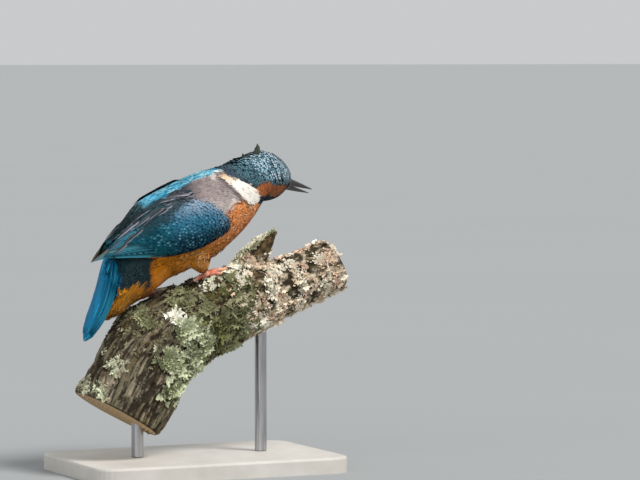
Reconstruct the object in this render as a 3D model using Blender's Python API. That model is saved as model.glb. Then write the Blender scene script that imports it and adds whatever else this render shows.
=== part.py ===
"""A common kingfisher (Alcedo atthis), life size, leaning along a cut length of branch on a display stand.

The bird faces +X with its sagittal plane on XZ, so its right side is towards -Y and +Z is up.
The origin is the centre of the stand's underside. Sizes and angles in the tables are in millimetres
and degrees, and become metres and radians where the meshes are made.
"""
import math
from collections import namedtuple

import bmesh
import bpy
from mathutils import Euler, Matrix, Vector

MM = 0.001
GAP = 0.3            # clearance between neighbouring solids
TOE_GAP = 0.5        # clearance between a toe and the bark under it

# Stand
BASE_SIZE = (134.0, 88.0, 8.0)
BASE_CORNER = 10.0
BASE_EDGE = 1.2
ROD_RADIUS = 3.0
ROD_PLACES = {"stand_rod_rear": (-31.0, 42.0), "stand_rod_front": (36.0, 77.0)}   # x, height of its top

# Bird
BILL_LENGTH = 36.0
BILL_OPEN = 3.0                   # degrees between the mandibles
BILL_HALF_WIDTH = 3.15            # at the base
BILL_DEPTH = {"bill_upper": 3.2, "bill_lower": 2.9}
BILL_TIP = 0.28                   # half width and depth at the tip
BILL_TAPER = 1.35
LOWER_BILL_SHARE = 0.965          # the lower mandible is a little shorter
EYE_RADIUS = 3.5
EYE_PLACE = (7.2, 6.3, 1.4)       # ahead, out and up from the middle of the head
HEAD_CENTRE = (43.0, 8.0, 145.4)
HEAD_YAW, HEAD_PITCH, HEAD_ROLL = 39.0, -8.0, 28.0
TAIL_TWIST = 20.0

Station = namedtuple("Station", "x y z yaw pitch roll half_width up down")

# Rear to front. The trunk's axis climbs from the undertail coverts to the base of the neck.
TRUNK = [
    Station(-49.4, 0.0, 78.2, 0, 62, 0, 2.8, 4.6, 2.4),      # tip of the undertail coverts
    Station(-45.8, 0.0, 84.0, 0, 60, 0, 5.8, 7.0, 5.0),
    Station(-40.2, 0.0, 91.8, 0, 57, 0, 8.8, 9.6, 7.6),      # vent
    Station(-30.4, 0.0, 103.0, 0, 48, 0, 13.2, 17.5, 13.0),  # rump
    Station(-17.7, 0.0, 113.5, 0, 37, 0, 17.0, 24.0, 17.6),  # belly
    Station(-2.8, 0.0, 122.5, 0, 31, 0, 18.4, 23.0, 19.8),   # middle of the body
    Station(11.0, 0.0, 131.0, 0, 31, 0, 17.6, 20.4, 18.4),   # breast
    Station(21.5, 0.0, 138.0, 6, 28, 3, 15.0, 16.0, 16.0),   # base of the neck
]
NECK_MIDDLE = Station(28.8, 1.2, 143.2, 22, 13, 12, 13.0, 13.2, 14.2)

HeadSlice = namedtuple("HeadSlice", "ahead half_width up down")
HEAD = [
    HeadSlice(-11.0, 11.6, 11.0, 13.2),    # nape
    HeadSlice(-5.0, 11.7, 11.2, 12.8),     # hind crown
    HeadSlice(1.0, 11.1, 10.5, 11.8),      # ear coverts
    HeadSlice(6.5, 9.4, 8.6, 9.9),         # eyes
    HeadSlice(11.0, 6.8, 6.0, 7.2),        # lores
    HeadSlice(14.2, 4.6, 3.9, 5.0),
    HeadSlice(16.0, 3.7, 2.8, 3.9),        # edge of the feathers round the bill
]
TRUNK_END = len(TRUNK) - 1.55
NECK_END = len(TRUNK) + 1.0

# Right wing, shoulder to tip. Lean tips the outer face up towards the back.
# The left wing is its mirror image, drawn in a little at the tip.
LEFT_WING_TUCK = 3.6
WingSlice = namedtuple("WingSlice", "x y z lean half_chord half_thick bend_radius")
WING = [
    WingSlice(15.6, -10.8, 130.8, 6, 2.4, 1.4, 30),     # wrist
    WingSlice(13.2, -13.0, 130.2, 6, 6.2, 2.4, 26),
    WingSlice(7.4, -15.8, 128.6, 8, 10.0, 2.8, 24),
    WingSlice(-6.3, -18.0, 125.6, 12, 13.6, 3.0, 24),   # widest, over the greater coverts
    WingSlice(-21.5, -17.4, 122.0, 16, 13.4, 2.8, 24),
    WingSlice(-34.4, -13.4, 117.2, 26, 10.0, 2.4, 22),
    WingSlice(-45.0, -8.6, 112.2, 36, 6.0, 1.8, 22),    # ends of the secondaries
    WingSlice(-52.2, -5.4, 108.6, 42, 3.4, 1.1, 30),
    WingSlice(-57.2, -3.8, 105.6, 44, 1.2, 0.6, 40),    # tip of the longest primary
]

# Tail: a flat fan from its root to its rounded end.
TAIL_ROOT = (-43.0, 0.0, 106.5)
TAIL_TIP = (-59.6, -2.0, 66.6)
TailSlice = namedtuple("TailSlice", "share half_width half_thick")
TAIL = [
    TailSlice(0.0, 5.4, 4.2),
    TailSlice(0.2, 6.8, 3.6),
    TailSlice(0.45, 7.6, 2.2),
    TailSlice(0.7, 7.4, 1.3),
    TailSlice(0.88, 6.0, 0.9),
    TailSlice(0.96, 4.4, 0.7),
    TailSlice(1.0, 2.4, 0.5),
]

# Feathered thighs, from inside the belly down to the ankle. The left foot stands further back and lower.
Limb = namedtuple("Limb", "x y z radius")
THIGHS = {
    "right": [Limb(-5.0, -8.0, 114.0, 5.4), Limb(-2.6, -8.6, 108.4, 6.6),
              Limb(0.0, -8.2, 103.4, 4.8), Limb(1.6, -7.6, 100.4, 2.3)],
    "left": [Limb(-21.0, 8.8, 104.0, 6.6), Limb(-20.4, 9.2, 98.4, 6.8),
             Limb(-20.2, 8.6, 94.2, 4.6), Limb(-20.2, 8.0, 91.6, 2.3)],
}

# Perch, lower cut end to upper cut end, with the bend between the third and fifth stations.
PERCH = [
    Station(-40.6, 0.0, 29.5, 0, 60, 0, 22.5, 25.5, 22.0),
    Station(-33.7, 0.0, 41.0, 0, 60, 0, 22.0, 25.5, 22.0),
    Station(-26.0, 0.0, 54.0, 0, 55, 0, 22.0, 25.5, 22.5),
    Station(-15.0, 0.0, 65.0, 0, 41, 0, 21.5, 24.0, 22.5),
    Station(0.0, 0.0, 74.0, 0, 31, 0, 20.0, 21.0, 21.0),
    Station(18.2, 0.0, 82.6, 0, 26, 0, 18.5, 18.8, 19.0),
    Station(37.0, 0.0, 88.0, 0, 20, 0, 16.0, 15.8, 16.0),
    Station(58.0, 0.0, 93.8, 0, 17, 0, 13.6, 13.8, 14.0),
    Station(76.5, 0.0, 100.5, 0, 22, 0, 12.6, 13.0, 13.0),
]
PERCH_SPLIT = 2.5    # where the stem is cut from the branch, in stations
SPUR = [
    Station(24.0, 0.0, 90.0, 0, 52, 0, 8.0, 11.0, 11.0),
    Station(31.0, 0.0, 102.2, 0, 52, 0, 6.4, 7.8, 8.6),
    Station(37.0, 0.0, 110.0, 0, 52, 0, 4.4, 4.8, 5.0),
    Station(41.8, 0.0, 115.4, 0, 52, 0, 2.6, 2.8, 2.6),
    Station(45.2, 0.0, 118.8, 0, 52, 0, 0.8, 0.8, 0.8),
]

# Toes: how far each runs along the perch, how far round it, and its radius at the root and tip.
ToeSize = namedtuple("ToeSize", "along round_deg root_radius tip_radius")
TOES = {
    "inner": ToeSize(6.6, 11.0, 1.05, 0.75),
    "middle": ToeSize(11.2, 1.0, 1.25, 0.8),
    "outer": ToeSize(9.2, -8.0, 1.1, 0.75),
    "hind": ToeSize(-6.5, -2.0, 1.1, 0.8),
}
CLAW_LENGTH = 2.6
BALL_RADIUS = 1.7
SHANK_STRAIGHT = 1.1     # length of the shank in line with the thigh
FEET = {"right": (4.7, -17.0, -1.0), "left": (3.36, 22.0, 1.0)}   # station, degrees from the crest, side

# Rings along each form, and points round each ring
RINGS = {"trunk": 22, "neck": 7, "head": 15, "wing": 17, "tail": 13, "thigh": 10, "bill": 9,
         "toe": 5, "claw": 4, "perch_stem": 9, "perch_branch": 19, "spur": 8}
SIDES = {"body": 24, "wing": 16, "tail": 14, "thigh": 16, "bill": 10, "perch": 24, "spur": 14, "rod": 24}

Finish = namedtuple("Finish", "colour roughness metallic")
FINISHES = {
    "azure": Finish((0.02, 0.25, 0.55), 0.5, 0.0),
    "deep blue": Finish((0.01, 0.09, 0.2), 0.5, 0.0),
    "orange": Finish((0.7, 0.2, 0.03), 0.8, 0.0),
    "coral": Finish((0.75, 0.12, 0.06), 0.5, 0.0),
    "horn": Finish((0.02, 0.02, 0.022), 0.35, 0.0),
    "eye": Finish((0.01, 0.008, 0.006), 0.08, 0.0),
    "bark": Finish((0.2, 0.17, 0.13), 0.9, 0.0),
    "base": Finish((0.62, 0.6, 0.56), 0.6, 0.0),
    "steel": Finish((0.5, 0.5, 0.5), 0.35, 1.0),
}


def clear_scene():
    for item in list(bpy.data.objects):
        bpy.data.objects.remove(item, do_unlink=True)


def make_collection(name):
    collection = bpy.data.collections.new(name)
    bpy.context.scene.collection.children.link(collection)
    return collection


def material(name):
    if name in bpy.data.materials:
        return bpy.data.materials[name]
    colour, roughness, metallic = FINISHES[name]
    made = bpy.data.materials.new(name)
    made.use_nodes = True
    shader = made.node_tree.nodes["Principled BSDF"]
    shader.inputs["Base Color"].default_value = (*colour, 1.0)
    shader.inputs["Roughness"].default_value = roughness
    shader.inputs["Metallic"].default_value = metallic
    return made


def add_object(name, mesh, finish=None, collection=None, smooth_below=40.0):
    item = bpy.data.objects.new(name, mesh)
    (collection or PARTS).objects.link(item)
    if finish:
        mesh.materials.append(finish)
    mesh.shade_smooth()
    mesh.set_sharp_from_angle(angle=math.radians(smooth_below))
    return item


def blend(rows, place):
    """Row of a station table at a place between its rows, on a smooth curve through all of them."""
    first = min(max(math.floor(place), 0), len(rows) - 2)
    share = place - first
    picked = [rows[min(max(first + step, 0), len(rows) - 1)] for step in (-1, 0, 1, 2)]
    values = []
    for a, b, c, d in zip(*picked):
        start, end = 0.5 * (c - a), 0.5 * (d - b)
        values.append(b + start * share + (3 * (c - b) - 2 * start - end) * share ** 2
                      + (2 * (b - c) + start + end) * share ** 3)
    return type(rows[0])(*values)


def station_axes(station):
    turn = Euler([math.radians(v) for v in (station.roll, -station.pitch, station.yaw)], "XYZ").to_matrix()
    return turn.col[0], turn.col[1], turn.col[2]


def oval_ring(station, sides, grow=0.0, relief=None):
    """Points of an egg-shaped section, with separate heights above and below its centre."""
    _, left, top = station_axes(station)
    centre = Vector((station.x, station.y, station.z))
    points = []
    for step in range(sides):
        angle = 2 * math.pi * step / sides
        across, height = math.cos(angle), math.sin(angle)
        swell = relief(angle) if relief else 1.0
        rise = (station.up if height > 0 else station.down) * swell + grow
        width = station.half_width * swell + grow
        points.append((centre + left * across * width + top * height * rise) * MM)
    return points


def loft(name, rings, finish=None, collection=None):
    """Closed body through rings of equal count, with a flat cap on each end."""
    shape = bmesh.new()
    rows = [[shape.verts.new(point) for point in ring] for ring in rings]
    count = len(rows[0])
    for near, far in zip(rows, rows[1:]):
        for step in range(count):
            after = (step + 1) % count
            shape.faces.new((near[step], near[after], far[after], far[step]))
    shape.faces.new(rows[0])
    shape.faces.new(rows[-1])
    bmesh.ops.recalc_face_normals(shape, faces=shape.faces)
    mesh = bpy.data.meshes.new(name)
    shape.to_mesh(mesh)
    shape.free()
    return add_object(name, mesh, finish, collection)


def places(start, end, count):
    return [start + (end - start) * step / (count - 1) for step in range(count)]


def step_past(rows, place, distance):
    """Place that lies a given distance further along a station table."""
    here, ahead = blend(rows, place), blend(rows, place + 0.01)
    speed = (Vector(ahead[:3]) - Vector(here[:3])).length / 0.01
    return place + distance / speed


def hide_cutter(item):
    item.hide_render = True
    item.display_type = "WIRE"


def boolean(item, other, operation="DIFFERENCE"):
    cut = item.modifiers.new(operation.title() + " " + other.name, "BOOLEAN")
    cut.operation = operation
    cut.solver = "EXACT"
    cut.object = other
    hide_cutter(other)


def head_axes():
    return station_axes(Station(0, 0, 0, HEAD_YAW, HEAD_PITCH, HEAD_ROLL, 0, 0, 0))


def head_point(ahead, left, up):
    forward, side, top = head_axes()
    return Vector(HEAD_CENTRE) + forward * ahead + side * left + top * up


def head_stations():
    made = []
    for part in HEAD:
        centre = head_point(part.ahead, 0.0, 0.0)
        made.append(Station(*centre, HEAD_YAW, HEAD_PITCH, HEAD_ROLL, part.half_width, part.up, part.down))
    return made


def body_stations():
    return TRUNK + [NECK_MIDDLE] + head_stations()


def build_body():
    """Trunk, neck and head are one form, parted by two thin cuts."""
    rows = body_stations()
    last = len(rows) - 1.0
    spans = {
        "trunk": (0.0, TRUNK_END, "orange"),
        "neck": (step_past(rows, TRUNK_END, GAP), NECK_END, "azure"),
        "head": (step_past(rows, NECK_END, GAP), last, "azure"),
    }
    made = {}
    for name, (start, end, colour) in spans.items():
        sections = [oval_ring(blend(rows, place), SIDES["body"]) for place in places(start, end, RINGS[name])]
        made[name] = loft(name, sections, material(colour))
    return made


def wing_ring(rows, place, side, sides, grow=0.0):
    part = blend(rows, place)
    ahead, behind = blend(rows, max(place - 0.05, 0.0)), blend(rows, min(place + 0.05, len(rows) - 1))
    forward = (Vector(ahead[:3]) - Vector(behind[:3])).normalized()
    lean = math.radians(part.lean)
    outward = Vector((0.0, -math.cos(lean), math.sin(lean)))
    outward = (outward - forward * outward.dot(forward)).normalized()
    chord = forward.cross(outward)
    points = []
    for step in range(sides):
        angle = 2 * math.pi * step / sides
        along = (part.half_chord + grow) * math.cos(angle)
        out = (part.half_thick + grow) * math.sin(angle) - along ** 2 / (2 * part.bend_radius)
        point = Vector(part[:3]) + chord * along + outward * out
        if side == "left":
            point.y = -point.y
            point.x += LEFT_WING_TUCK * (place / (len(rows) - 1)) ** 3
        points.append(point * MM)
    return points


def build_wing(side, grow=0.0, collection=None):
    rings = [wing_ring(WING, place, side, SIDES["wing"], grow)
             for place in places(0.0, len(WING) - 1.0, RINGS["wing"])]
    if grow:
        for near, end in ((1, 0), (-2, -1)):
            inner, outer = (sum(rings[index], Vector()) / len(rings[index]) for index in (near, end))
            push = (outer - inner).normalized() * grow * MM
            rings[end] = [point + push for point in rings[end]]
    name = "wing_" + side + ("_space" if grow else "")
    return loft(name, rings, None if grow else material("deep blue"), collection)


def build_tail(grow=0.0, collection=None):
    root, tip = Vector(TAIL_ROOT), Vector(TAIL_TIP)
    along = (tip - root).normalized()
    across = Matrix.Rotation(math.radians(-TAIL_TWIST), 3, along) @ Vector((0.0, 1.0, 0.0))
    across = (across - along * across.dot(along)).normalized()
    normal = along.cross(across)
    rings = []
    for place in places(0.0, len(TAIL) - 1.0, RINGS["tail"]):
        part = blend(TAIL, place)
        centre = root.lerp(tip, part.share)
        if grow and place in (0.0, len(TAIL) - 1.0):
            centre += along * (grow if place else -grow)
        ring = []
        for step in range(SIDES["tail"]):
            angle = 2 * math.pi * step / SIDES["tail"]
            wide = (part.half_width + grow) * math.cos(angle)
            thick = (part.half_thick + grow) * math.sin(angle)
            ring.append((centre + across * wide + normal * thick) * MM)
        rings.append(ring)
    return loft("tail_space" if grow else "tail", rings, None if grow else material("azure"), collection)


def round_rings(rows, sides, grow=0.0):
    """Round sections down a soft form, square to the line through their centres."""
    rings = []
    for place in places(0.0, len(rows) - 1.0, RINGS["thigh"]):
        part = blend(rows, place)
        ahead = blend(rows, min(place + 0.05, len(rows) - 1))
        behind = blend(rows, max(place - 0.05, 0.0))
        along = (Vector(ahead[:3]) - Vector(behind[:3])).normalized()
        side = along.cross(Vector((1.0, 0.0, 0.0))).normalized()
        other = along.cross(side)
        centre = Vector(part[:3])
        if grow and place in (0.0, len(rows) - 1.0):
            centre += along * (grow if place else -grow)
        radius = part.radius + grow
        rings.append([(centre + (side * math.cos(a) + other * math.sin(a)) * radius) * MM
                      for a in (2 * math.pi * step / sides for step in range(sides))])
    return rings


def build_thigh(side, grow=0.0, collection=None):
    name = "thigh_" + side + ("_space" if grow else "")
    finish = None if grow else material("orange")
    return loft(name, round_rings(THIGHS[side], SIDES["thigh"], grow), finish, collection)


def ball(name, centre, radius, segments, rings, finish, collection):
    shape = bmesh.new()
    bmesh.ops.create_uvsphere(shape, u_segments=segments, v_segments=rings, radius=radius * MM)
    bmesh.ops.translate(shape, verts=shape.verts, vec=centre * MM)
    mesh = bpy.data.meshes.new(name)
    shape.to_mesh(mesh)
    shape.free()
    return add_object(name, mesh, finish, collection)


def build_eye(side, head):
    left = 1.0 if side == "left" else -1.0
    centre = head_point(EYE_PLACE[0], left * EYE_PLACE[1], EYE_PLACE[2])
    ball("eye_" + side, centre, EYE_RADIUS, 14, 8, material("eye"), PARTS)
    boolean(head, ball("socket_" + side, centre, EYE_RADIUS + GAP, 14, 8, None, CUTTERS))


def build_bill():
    """Two long half-cones, flat where they face each other, slightly apart at the tips."""
    forward, side, top = head_axes()
    start = head_point(HEAD[-1].ahead + GAP, 0.0, -0.6)
    halves = (("bill_upper", 1.0, 0.0, 1.0), ("bill_lower", -1.0, BILL_OPEN, LOWER_BILL_SHARE))
    for name, sign, opening, reach in halves:
        turn = Matrix.Rotation(math.radians(opening), 3, side)
        rings = []
        for place in places(0.0, 1.0, RINGS["bill"]):
            taper = 1.0 - place ** BILL_TAPER
            half_width = BILL_TIP + (BILL_HALF_WIDTH - BILL_TIP) * taper
            depth = BILL_TIP + (BILL_DEPTH[name] - BILL_TIP) * taper
            ring = []
            for angle in places(0.0, math.pi, SIDES["bill"]):
                offset = forward * BILL_LENGTH * reach * place + side * (half_width * math.cos(angle))
                offset += top * sign * (GAP / 2 + depth * math.sin(angle))
                ring.append((start + turn @ offset) * MM)
            rings.append(ring)
        loft(name, rings, material("horn"))


def bark_swell(place, angle):
    """Share by which the perch swells or dips at a place along it and an angle round it."""
    ridges = 0.028 * math.sin(3 * angle + 1.3 * place) + 0.014 * math.sin(5 * angle - 2.1 * place + 1.0)
    knots = 0.016 * math.sin(2.7 * place + 2.0 * math.cos(angle))
    return 1.0 + ridges + knots


def perch_ring(place, sides):
    return oval_ring(blend(PERCH, place), sides, relief=lambda angle: bark_swell(place, angle))


def perch_point(place, degrees_from_crest, height):
    """Point above the bark, and the outward direction there. Positive degrees go to the left side."""
    station = blend(PERCH, place)
    _, left, top = station_axes(station)
    angle = math.pi / 2 - math.radians(degrees_from_crest)
    swell = bark_swell(place, angle)
    centre = Vector(station[:3])
    surface = centre + left * math.cos(angle) * station.half_width * swell
    surface += top * math.sin(angle) * station.up * swell
    outward = (surface - centre).normalized()
    return surface + outward * height, outward


def build_perch():
    spans = {"perch_stem": (0.0, PERCH_SPLIT),
             "perch_branch": (step_past(PERCH, PERCH_SPLIT, GAP), len(PERCH) - 1.0)}
    made = {}
    for name, (start, end) in spans.items():
        sections = [perch_ring(place, SIDES["perch"]) for place in places(start, end, RINGS[name])]
        made[name] = loft(name, sections, material("bark"))
    along = places(0.0, len(SPUR) - 1.0, RINGS["spur"])
    spur_rings = {grow: [oval_ring(blend(SPUR, place), SIDES["spur"], grow) for place in along]
                  for grow in (0.0, GAP)}
    loft("perch_spur", spur_rings[0.0], material("bark"))
    boolean(made["perch_branch"], loft("spur_space", spur_rings[GAP], None, CUTTERS))
    return made


def tube(name, points, radii, finish, collection):
    """A round limb through points, as a capped curve turned into a mesh."""
    curve = bpy.data.curves.new(name, "CURVE")
    curve.dimensions = "3D"
    curve.bevel_depth = MM
    curve.bevel_resolution = 2
    curve.use_fill_caps = True
    spline = curve.splines.new("POLY")
    spline.points.add(len(points) - 1)
    for point, place, radius in zip(spline.points, points, radii):
        point.co = (*(place * MM), 1.0)
        point.radius = radius
    drawn = bpy.data.objects.new(name, curve)
    CUTTERS.objects.link(drawn)
    mesh = bpy.data.meshes.new_from_object(drawn.evaluated_get(bpy.context.evaluated_depsgraph_get()))
    bpy.data.objects.remove(drawn)
    shape = bmesh.new()
    shape.from_mesh(mesh)
    bmesh.ops.remove_doubles(shape, verts=shape.verts, dist=1e-6)
    bmesh.ops.recalc_face_normals(shape, faces=shape.faces)
    shape.to_mesh(mesh)
    shape.free()
    mesh.materials.clear()
    return add_object(name, mesh, finish, collection)


def toe_path(root, crest, size, share):
    """Station and angle on the perch that a toe has reached."""
    unit = step_past(PERCH, root, 1.0) - root
    return root + unit * size.along * share, crest + size.round_deg * share


def toe_radius(size, share):
    return size.root_radius + (size.tip_radius - size.root_radius) * min(share, 1.0)


def build_toe(toe, side, size):
    """A toe that lies along the bark, and the hooked claw in front of it."""
    root, crest, hand = FEET[side]
    size = size._replace(round_deg=size.round_deg * hand)
    points, radii = [], []
    for share in places(0.0, 1.0, RINGS["toe"]):
        arch = 0.4 * math.sin(math.pi * share) + 0.7 * (1.0 - share) ** 3
        radii.append(toe_radius(size, share))
        points.append(perch_point(*toe_path(root, crest, size, share), radii[-1] + TOE_GAP + arch)[0])
    limb = tube("toe_" + toe + "_" + side, points, radii, None, CUTTERS)
    points, radii = [], []
    for share in places(0.0, 1.0, RINGS["claw"]):
        reach = 1.0 + (GAP + CLAW_LENGTH * share) / abs(size.along)
        height = TOE_GAP + size.tip_radius * (1.0 - share ** 2)
        radii.append(0.15 + (size.tip_radius * 0.8 - 0.15) * (1.0 - share))
        points.append(perch_point(*toe_path(root, crest, size, reach), height)[0])
    tube("claw_" + toe + "_" + side, points, radii, material("horn"), PARTS)
    return limb


def build_foot(side):
    """The ball of the foot, joined to the shank above it and to four toes."""
    root, crest, _ = FEET[side]
    centre = perch_point(root, crest, BALL_RADIUS + TOE_GAP)[0]
    foot = ball("foot_" + side, centre, BALL_RADIUS, 10, 6, material("coral"), PARTS)
    knee, ankle = (Vector(row[:3]) for row in THIGHS[side][-2:])
    down = (ankle - knee).normalized()
    top, heel = ankle + down * GAP, ankle + down * (GAP + SHANK_STRAIGHT)
    shank = tube("shank_" + side, [top, heel, heel.lerp(centre, 0.5), heel.lerp(centre, 0.97)],
                 (1.35, 1.25, 1.25, 1.3), None, CUTTERS)
    boolean(foot, shank, "UNION")
    for toe, size in TOES.items():
        boolean(foot, build_toe(toe, side, size), "UNION")


def cylinder(name, radius, bottom, top, x, finish=None, collection=None):
    shape = bmesh.new()
    bmesh.ops.create_cone(shape, cap_ends=True, segments=SIDES["rod"], radius1=radius * MM, radius2=radius * MM,
                          depth=(top - bottom) * MM)
    bmesh.ops.translate(shape, verts=shape.verts, vec=Vector((x, 0.0, (top + bottom) / 2)) * MM)
    mesh = bpy.data.meshes.new(name)
    shape.to_mesh(mesh)
    shape.free()
    return add_object(name, mesh, finish, collection)


def build_stand(perch):
    length, width, height = (size * MM for size in BASE_SIZE)
    shape = bmesh.new()
    bmesh.ops.create_cube(shape, size=1.0)
    bmesh.ops.scale(shape, verts=shape.verts, vec=(length, width, height))
    bmesh.ops.translate(shape, verts=shape.verts, vec=(0.0, 0.0, height / 2))
    upright = [edge for edge in shape.edges if abs(edge.verts[0].co.z - edge.verts[1].co.z) > height / 2]
    bmesh.ops.bevel(shape, geom=upright, offset=BASE_CORNER * MM, segments=6, affect="EDGES", profile=0.5)
    rim = [edge for edge in shape.edges if min(v.co.z for v in edge.verts) > height * 0.99]
    bmesh.ops.bevel(shape, geom=rim, offset=BASE_EDGE * MM, segments=2, affect="EDGES", profile=0.5)
    mesh = bpy.data.meshes.new("stand_base")
    shape.to_mesh(mesh)
    shape.free()
    add_object("stand_base", mesh, material("base"))
    holes = {"stand_rod_rear": perch["perch_stem"], "stand_rod_front": perch["perch_branch"]}
    for name, (x, top) in ROD_PLACES.items():
        cylinder(name, ROD_RADIUS, BASE_SIZE[2] + GAP, top, x, material("steel"))
        hole = cylinder(name + "_hole", ROD_RADIUS + GAP, BASE_SIZE[2] + GAP, top + GAP, x, None, CUTTERS)
        boolean(holes[name], hole)


def build_model():
    body = build_body()
    for side in ("left", "right"):
        build_wing(side)
        space = build_wing(side, GAP, CUTTERS)
        for name in ("trunk", "neck"):
            boolean(body[name], space)
        build_thigh(side)
        boolean(body["trunk"], build_thigh(side, GAP, CUTTERS))
        build_eye(side, body["head"])
        build_foot(side)
    build_tail()
    boolean(body["trunk"], build_tail(GAP, CUTTERS))
    build_bill()
    build_stand(build_perch())


clear_scene()
PARTS = make_collection("kingfisher")
CUTTERS = make_collection("cutters")
build_model()
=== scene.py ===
import math
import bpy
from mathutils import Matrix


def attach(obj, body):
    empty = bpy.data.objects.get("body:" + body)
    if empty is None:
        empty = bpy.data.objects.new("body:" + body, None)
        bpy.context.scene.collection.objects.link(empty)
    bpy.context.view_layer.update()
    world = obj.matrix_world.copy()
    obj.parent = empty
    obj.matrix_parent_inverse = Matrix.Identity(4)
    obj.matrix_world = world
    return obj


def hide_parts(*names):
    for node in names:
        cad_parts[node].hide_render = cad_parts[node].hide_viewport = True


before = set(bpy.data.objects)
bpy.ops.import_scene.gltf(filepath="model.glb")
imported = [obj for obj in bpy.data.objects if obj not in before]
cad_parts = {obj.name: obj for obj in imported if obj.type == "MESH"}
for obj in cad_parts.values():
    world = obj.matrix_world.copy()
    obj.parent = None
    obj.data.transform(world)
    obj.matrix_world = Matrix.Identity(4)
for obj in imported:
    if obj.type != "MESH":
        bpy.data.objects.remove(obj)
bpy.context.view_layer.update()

from types import SimpleNamespace

import bmesh
import bpy
import numpy as np
from mathutils import Euler, Matrix, Vector
from mathutils.bvhtree import BVHTree
from mathutils.kdtree import KDTree

# Lengths are in millimetres in the tables and arrays, and become metres where the meshes are made.
MM = 0.001
RNG = np.random.default_rng(11)
SIDES = ("right", "left")

# ---------------------------------------------------------------- sizes shared with the solids
GAP = 0.3
HEAD_CENTRE = np.array((43.0, 8.0, 145.4))
HEAD_YAW, HEAD_PITCH, HEAD_ROLL = 39.0, -8.0, 28.0
EYE_RADIUS = 3.5
EYE_PLACE = (7.2, 6.3, 1.4)
BILL_LENGTH, BILL_OPEN, BILL_HALF_WIDTH, BILL_TIP, BILL_TAPER = 36.0, 3.0, 3.15, 0.28, 1.35
BILL_DEPTH = {"bill_upper": 3.2, "bill_lower": 2.9}
LOWER_BILL_SHARE = 0.965
TAIL_ROOT, TAIL_TIP, TAIL_TWIST = np.array((-43.0, 0.0, 106.5)), np.array((-59.6, -2.0, 66.6)), 20.0
LEFT_WING_TUCK = 3.6

# Stations of the trunk: x, y, z, yaw, pitch, roll, half width, height above the middle, depth below it.
TRUNK = [
    (-49.4, 0.0, 78.2, 0, 62, 0, 2.8, 4.6, 2.4),
    (-45.8, 0.0, 84.0, 0, 60, 0, 5.8, 7.0, 5.0),
    (-40.2, 0.0, 91.8, 0, 57, 0, 8.8, 9.6, 7.6),
    (-30.4, 0.0, 103.0, 0, 48, 0, 13.2, 17.5, 13.0),
    (-17.7, 0.0, 113.5, 0, 37, 0, 17.0, 24.0, 17.6),
    (-2.8, 0.0, 122.5, 0, 31, 0, 18.4, 23.0, 19.8),
    (11.0, 0.0, 131.0, 0, 31, 0, 17.6, 20.4, 18.4),
    (21.5, 0.0, 138.0, 6, 28, 3, 15.0, 16.0, 16.0),
    (28.8, 1.2, 143.2, 22, 13, 12, 13.0, 13.2, 14.2),
]
# Stations of the head on its own axis: ahead of its middle, half width, height above, depth below.
HEAD = [(-11.0, 11.6, 11.0, 13.2), (-5.0, 11.7, 11.2, 12.8), (1.0, 11.1, 10.5, 11.8), (6.5, 9.4, 8.6, 9.9),
        (11.0, 6.8, 6.0, 7.2), (14.2, 4.6, 3.9, 5.0), (16.0, 3.7, 2.8, 3.9)]
# Stations of the right wing: x, y, z, lean, half chord, half thickness, radius of its bend.
WING = [
    (15.6, -10.8, 130.8, 6, 2.4, 1.4, 30), (13.2, -13.0, 130.2, 6, 6.2, 2.4, 26),
    (7.4, -15.8, 128.6, 8, 10.0, 2.8, 24), (-6.3, -18.0, 125.6, 12, 13.6, 3.0, 24),
    (-21.5, -17.4, 122.0, 16, 13.4, 2.8, 24), (-34.4, -13.4, 117.2, 26, 10.0, 2.4, 22),
    (-45.0, -8.6, 112.2, 36, 6.0, 1.8, 22), (-52.2, -5.4, 108.6, 42, 3.4, 1.1, 30),
    (-57.2, -3.8, 105.6, 44, 1.2, 0.6, 40),
]
# Stations of the tail: share of its length, half width, half thickness.
TAIL = [(0.0, 5.4, 4.2), (0.2, 6.8, 3.6), (0.45, 7.6, 2.2), (0.7, 7.4, 1.3), (0.88, 6.0, 0.9),
        (0.96, 4.4, 0.7), (1.0, 2.4, 0.5)]
# Stations of the thighs: x, y, z, radius.
THIGHS = {
    "right": [(-5.0, -8.0, 114.0, 5.4), (-2.6, -8.6, 108.4, 6.6),
              (0.0, -8.2, 103.4, 4.8), (1.6, -7.6, 100.4, 2.3)],
    "left": [(-21.0, 8.8, 104.0, 6.6), (-20.4, 9.2, 98.4, 6.8),
             (-20.2, 8.6, 94.2, 4.6), (-20.2, 8.0, 91.6, 2.3)],
}
# Stations of the perch and of its spur, measured as the trunk's.
PERCH = [
    (-40.6, 0.0, 29.5, 0, 60, 0, 22.5, 25.5, 22.0), (-33.7, 0.0, 41.0, 0, 60, 0, 22.0, 25.5, 22.0),
    (-26.0, 0.0, 54.0, 0, 55, 0, 22.0, 25.5, 22.5), (-15.0, 0.0, 65.0, 0, 41, 0, 21.5, 24.0, 22.5),
    (0.0, 0.0, 74.0, 0, 31, 0, 20.0, 21.0, 21.0), (18.2, 0.0, 82.6, 0, 26, 0, 18.5, 18.8, 19.0),
    (37.0, 0.0, 88.0, 0, 20, 0, 16.0, 15.8, 16.0), (58.0, 0.0, 93.8, 0, 17, 0, 13.6, 13.8, 14.0),
    (76.5, 0.0, 100.5, 0, 22, 0, 12.6, 13.0, 13.0),
]
SPUR = [
    (24.0, 0.0, 90.0, 0, 52, 0, 8.0, 11.0, 11.0), (31.0, 0.0, 102.2, 0, 52, 0, 6.4, 7.8, 8.6),
    (37.0, 0.0, 110.0, 0, 52, 0, 4.4, 4.8, 5.0), (41.8, 0.0, 115.4, 0, 52, 0, 2.6, 2.8, 2.6),
    (45.2, 0.0, 118.8, 0, 52, 0, 0.8, 0.8, 0.8),
]
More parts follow.
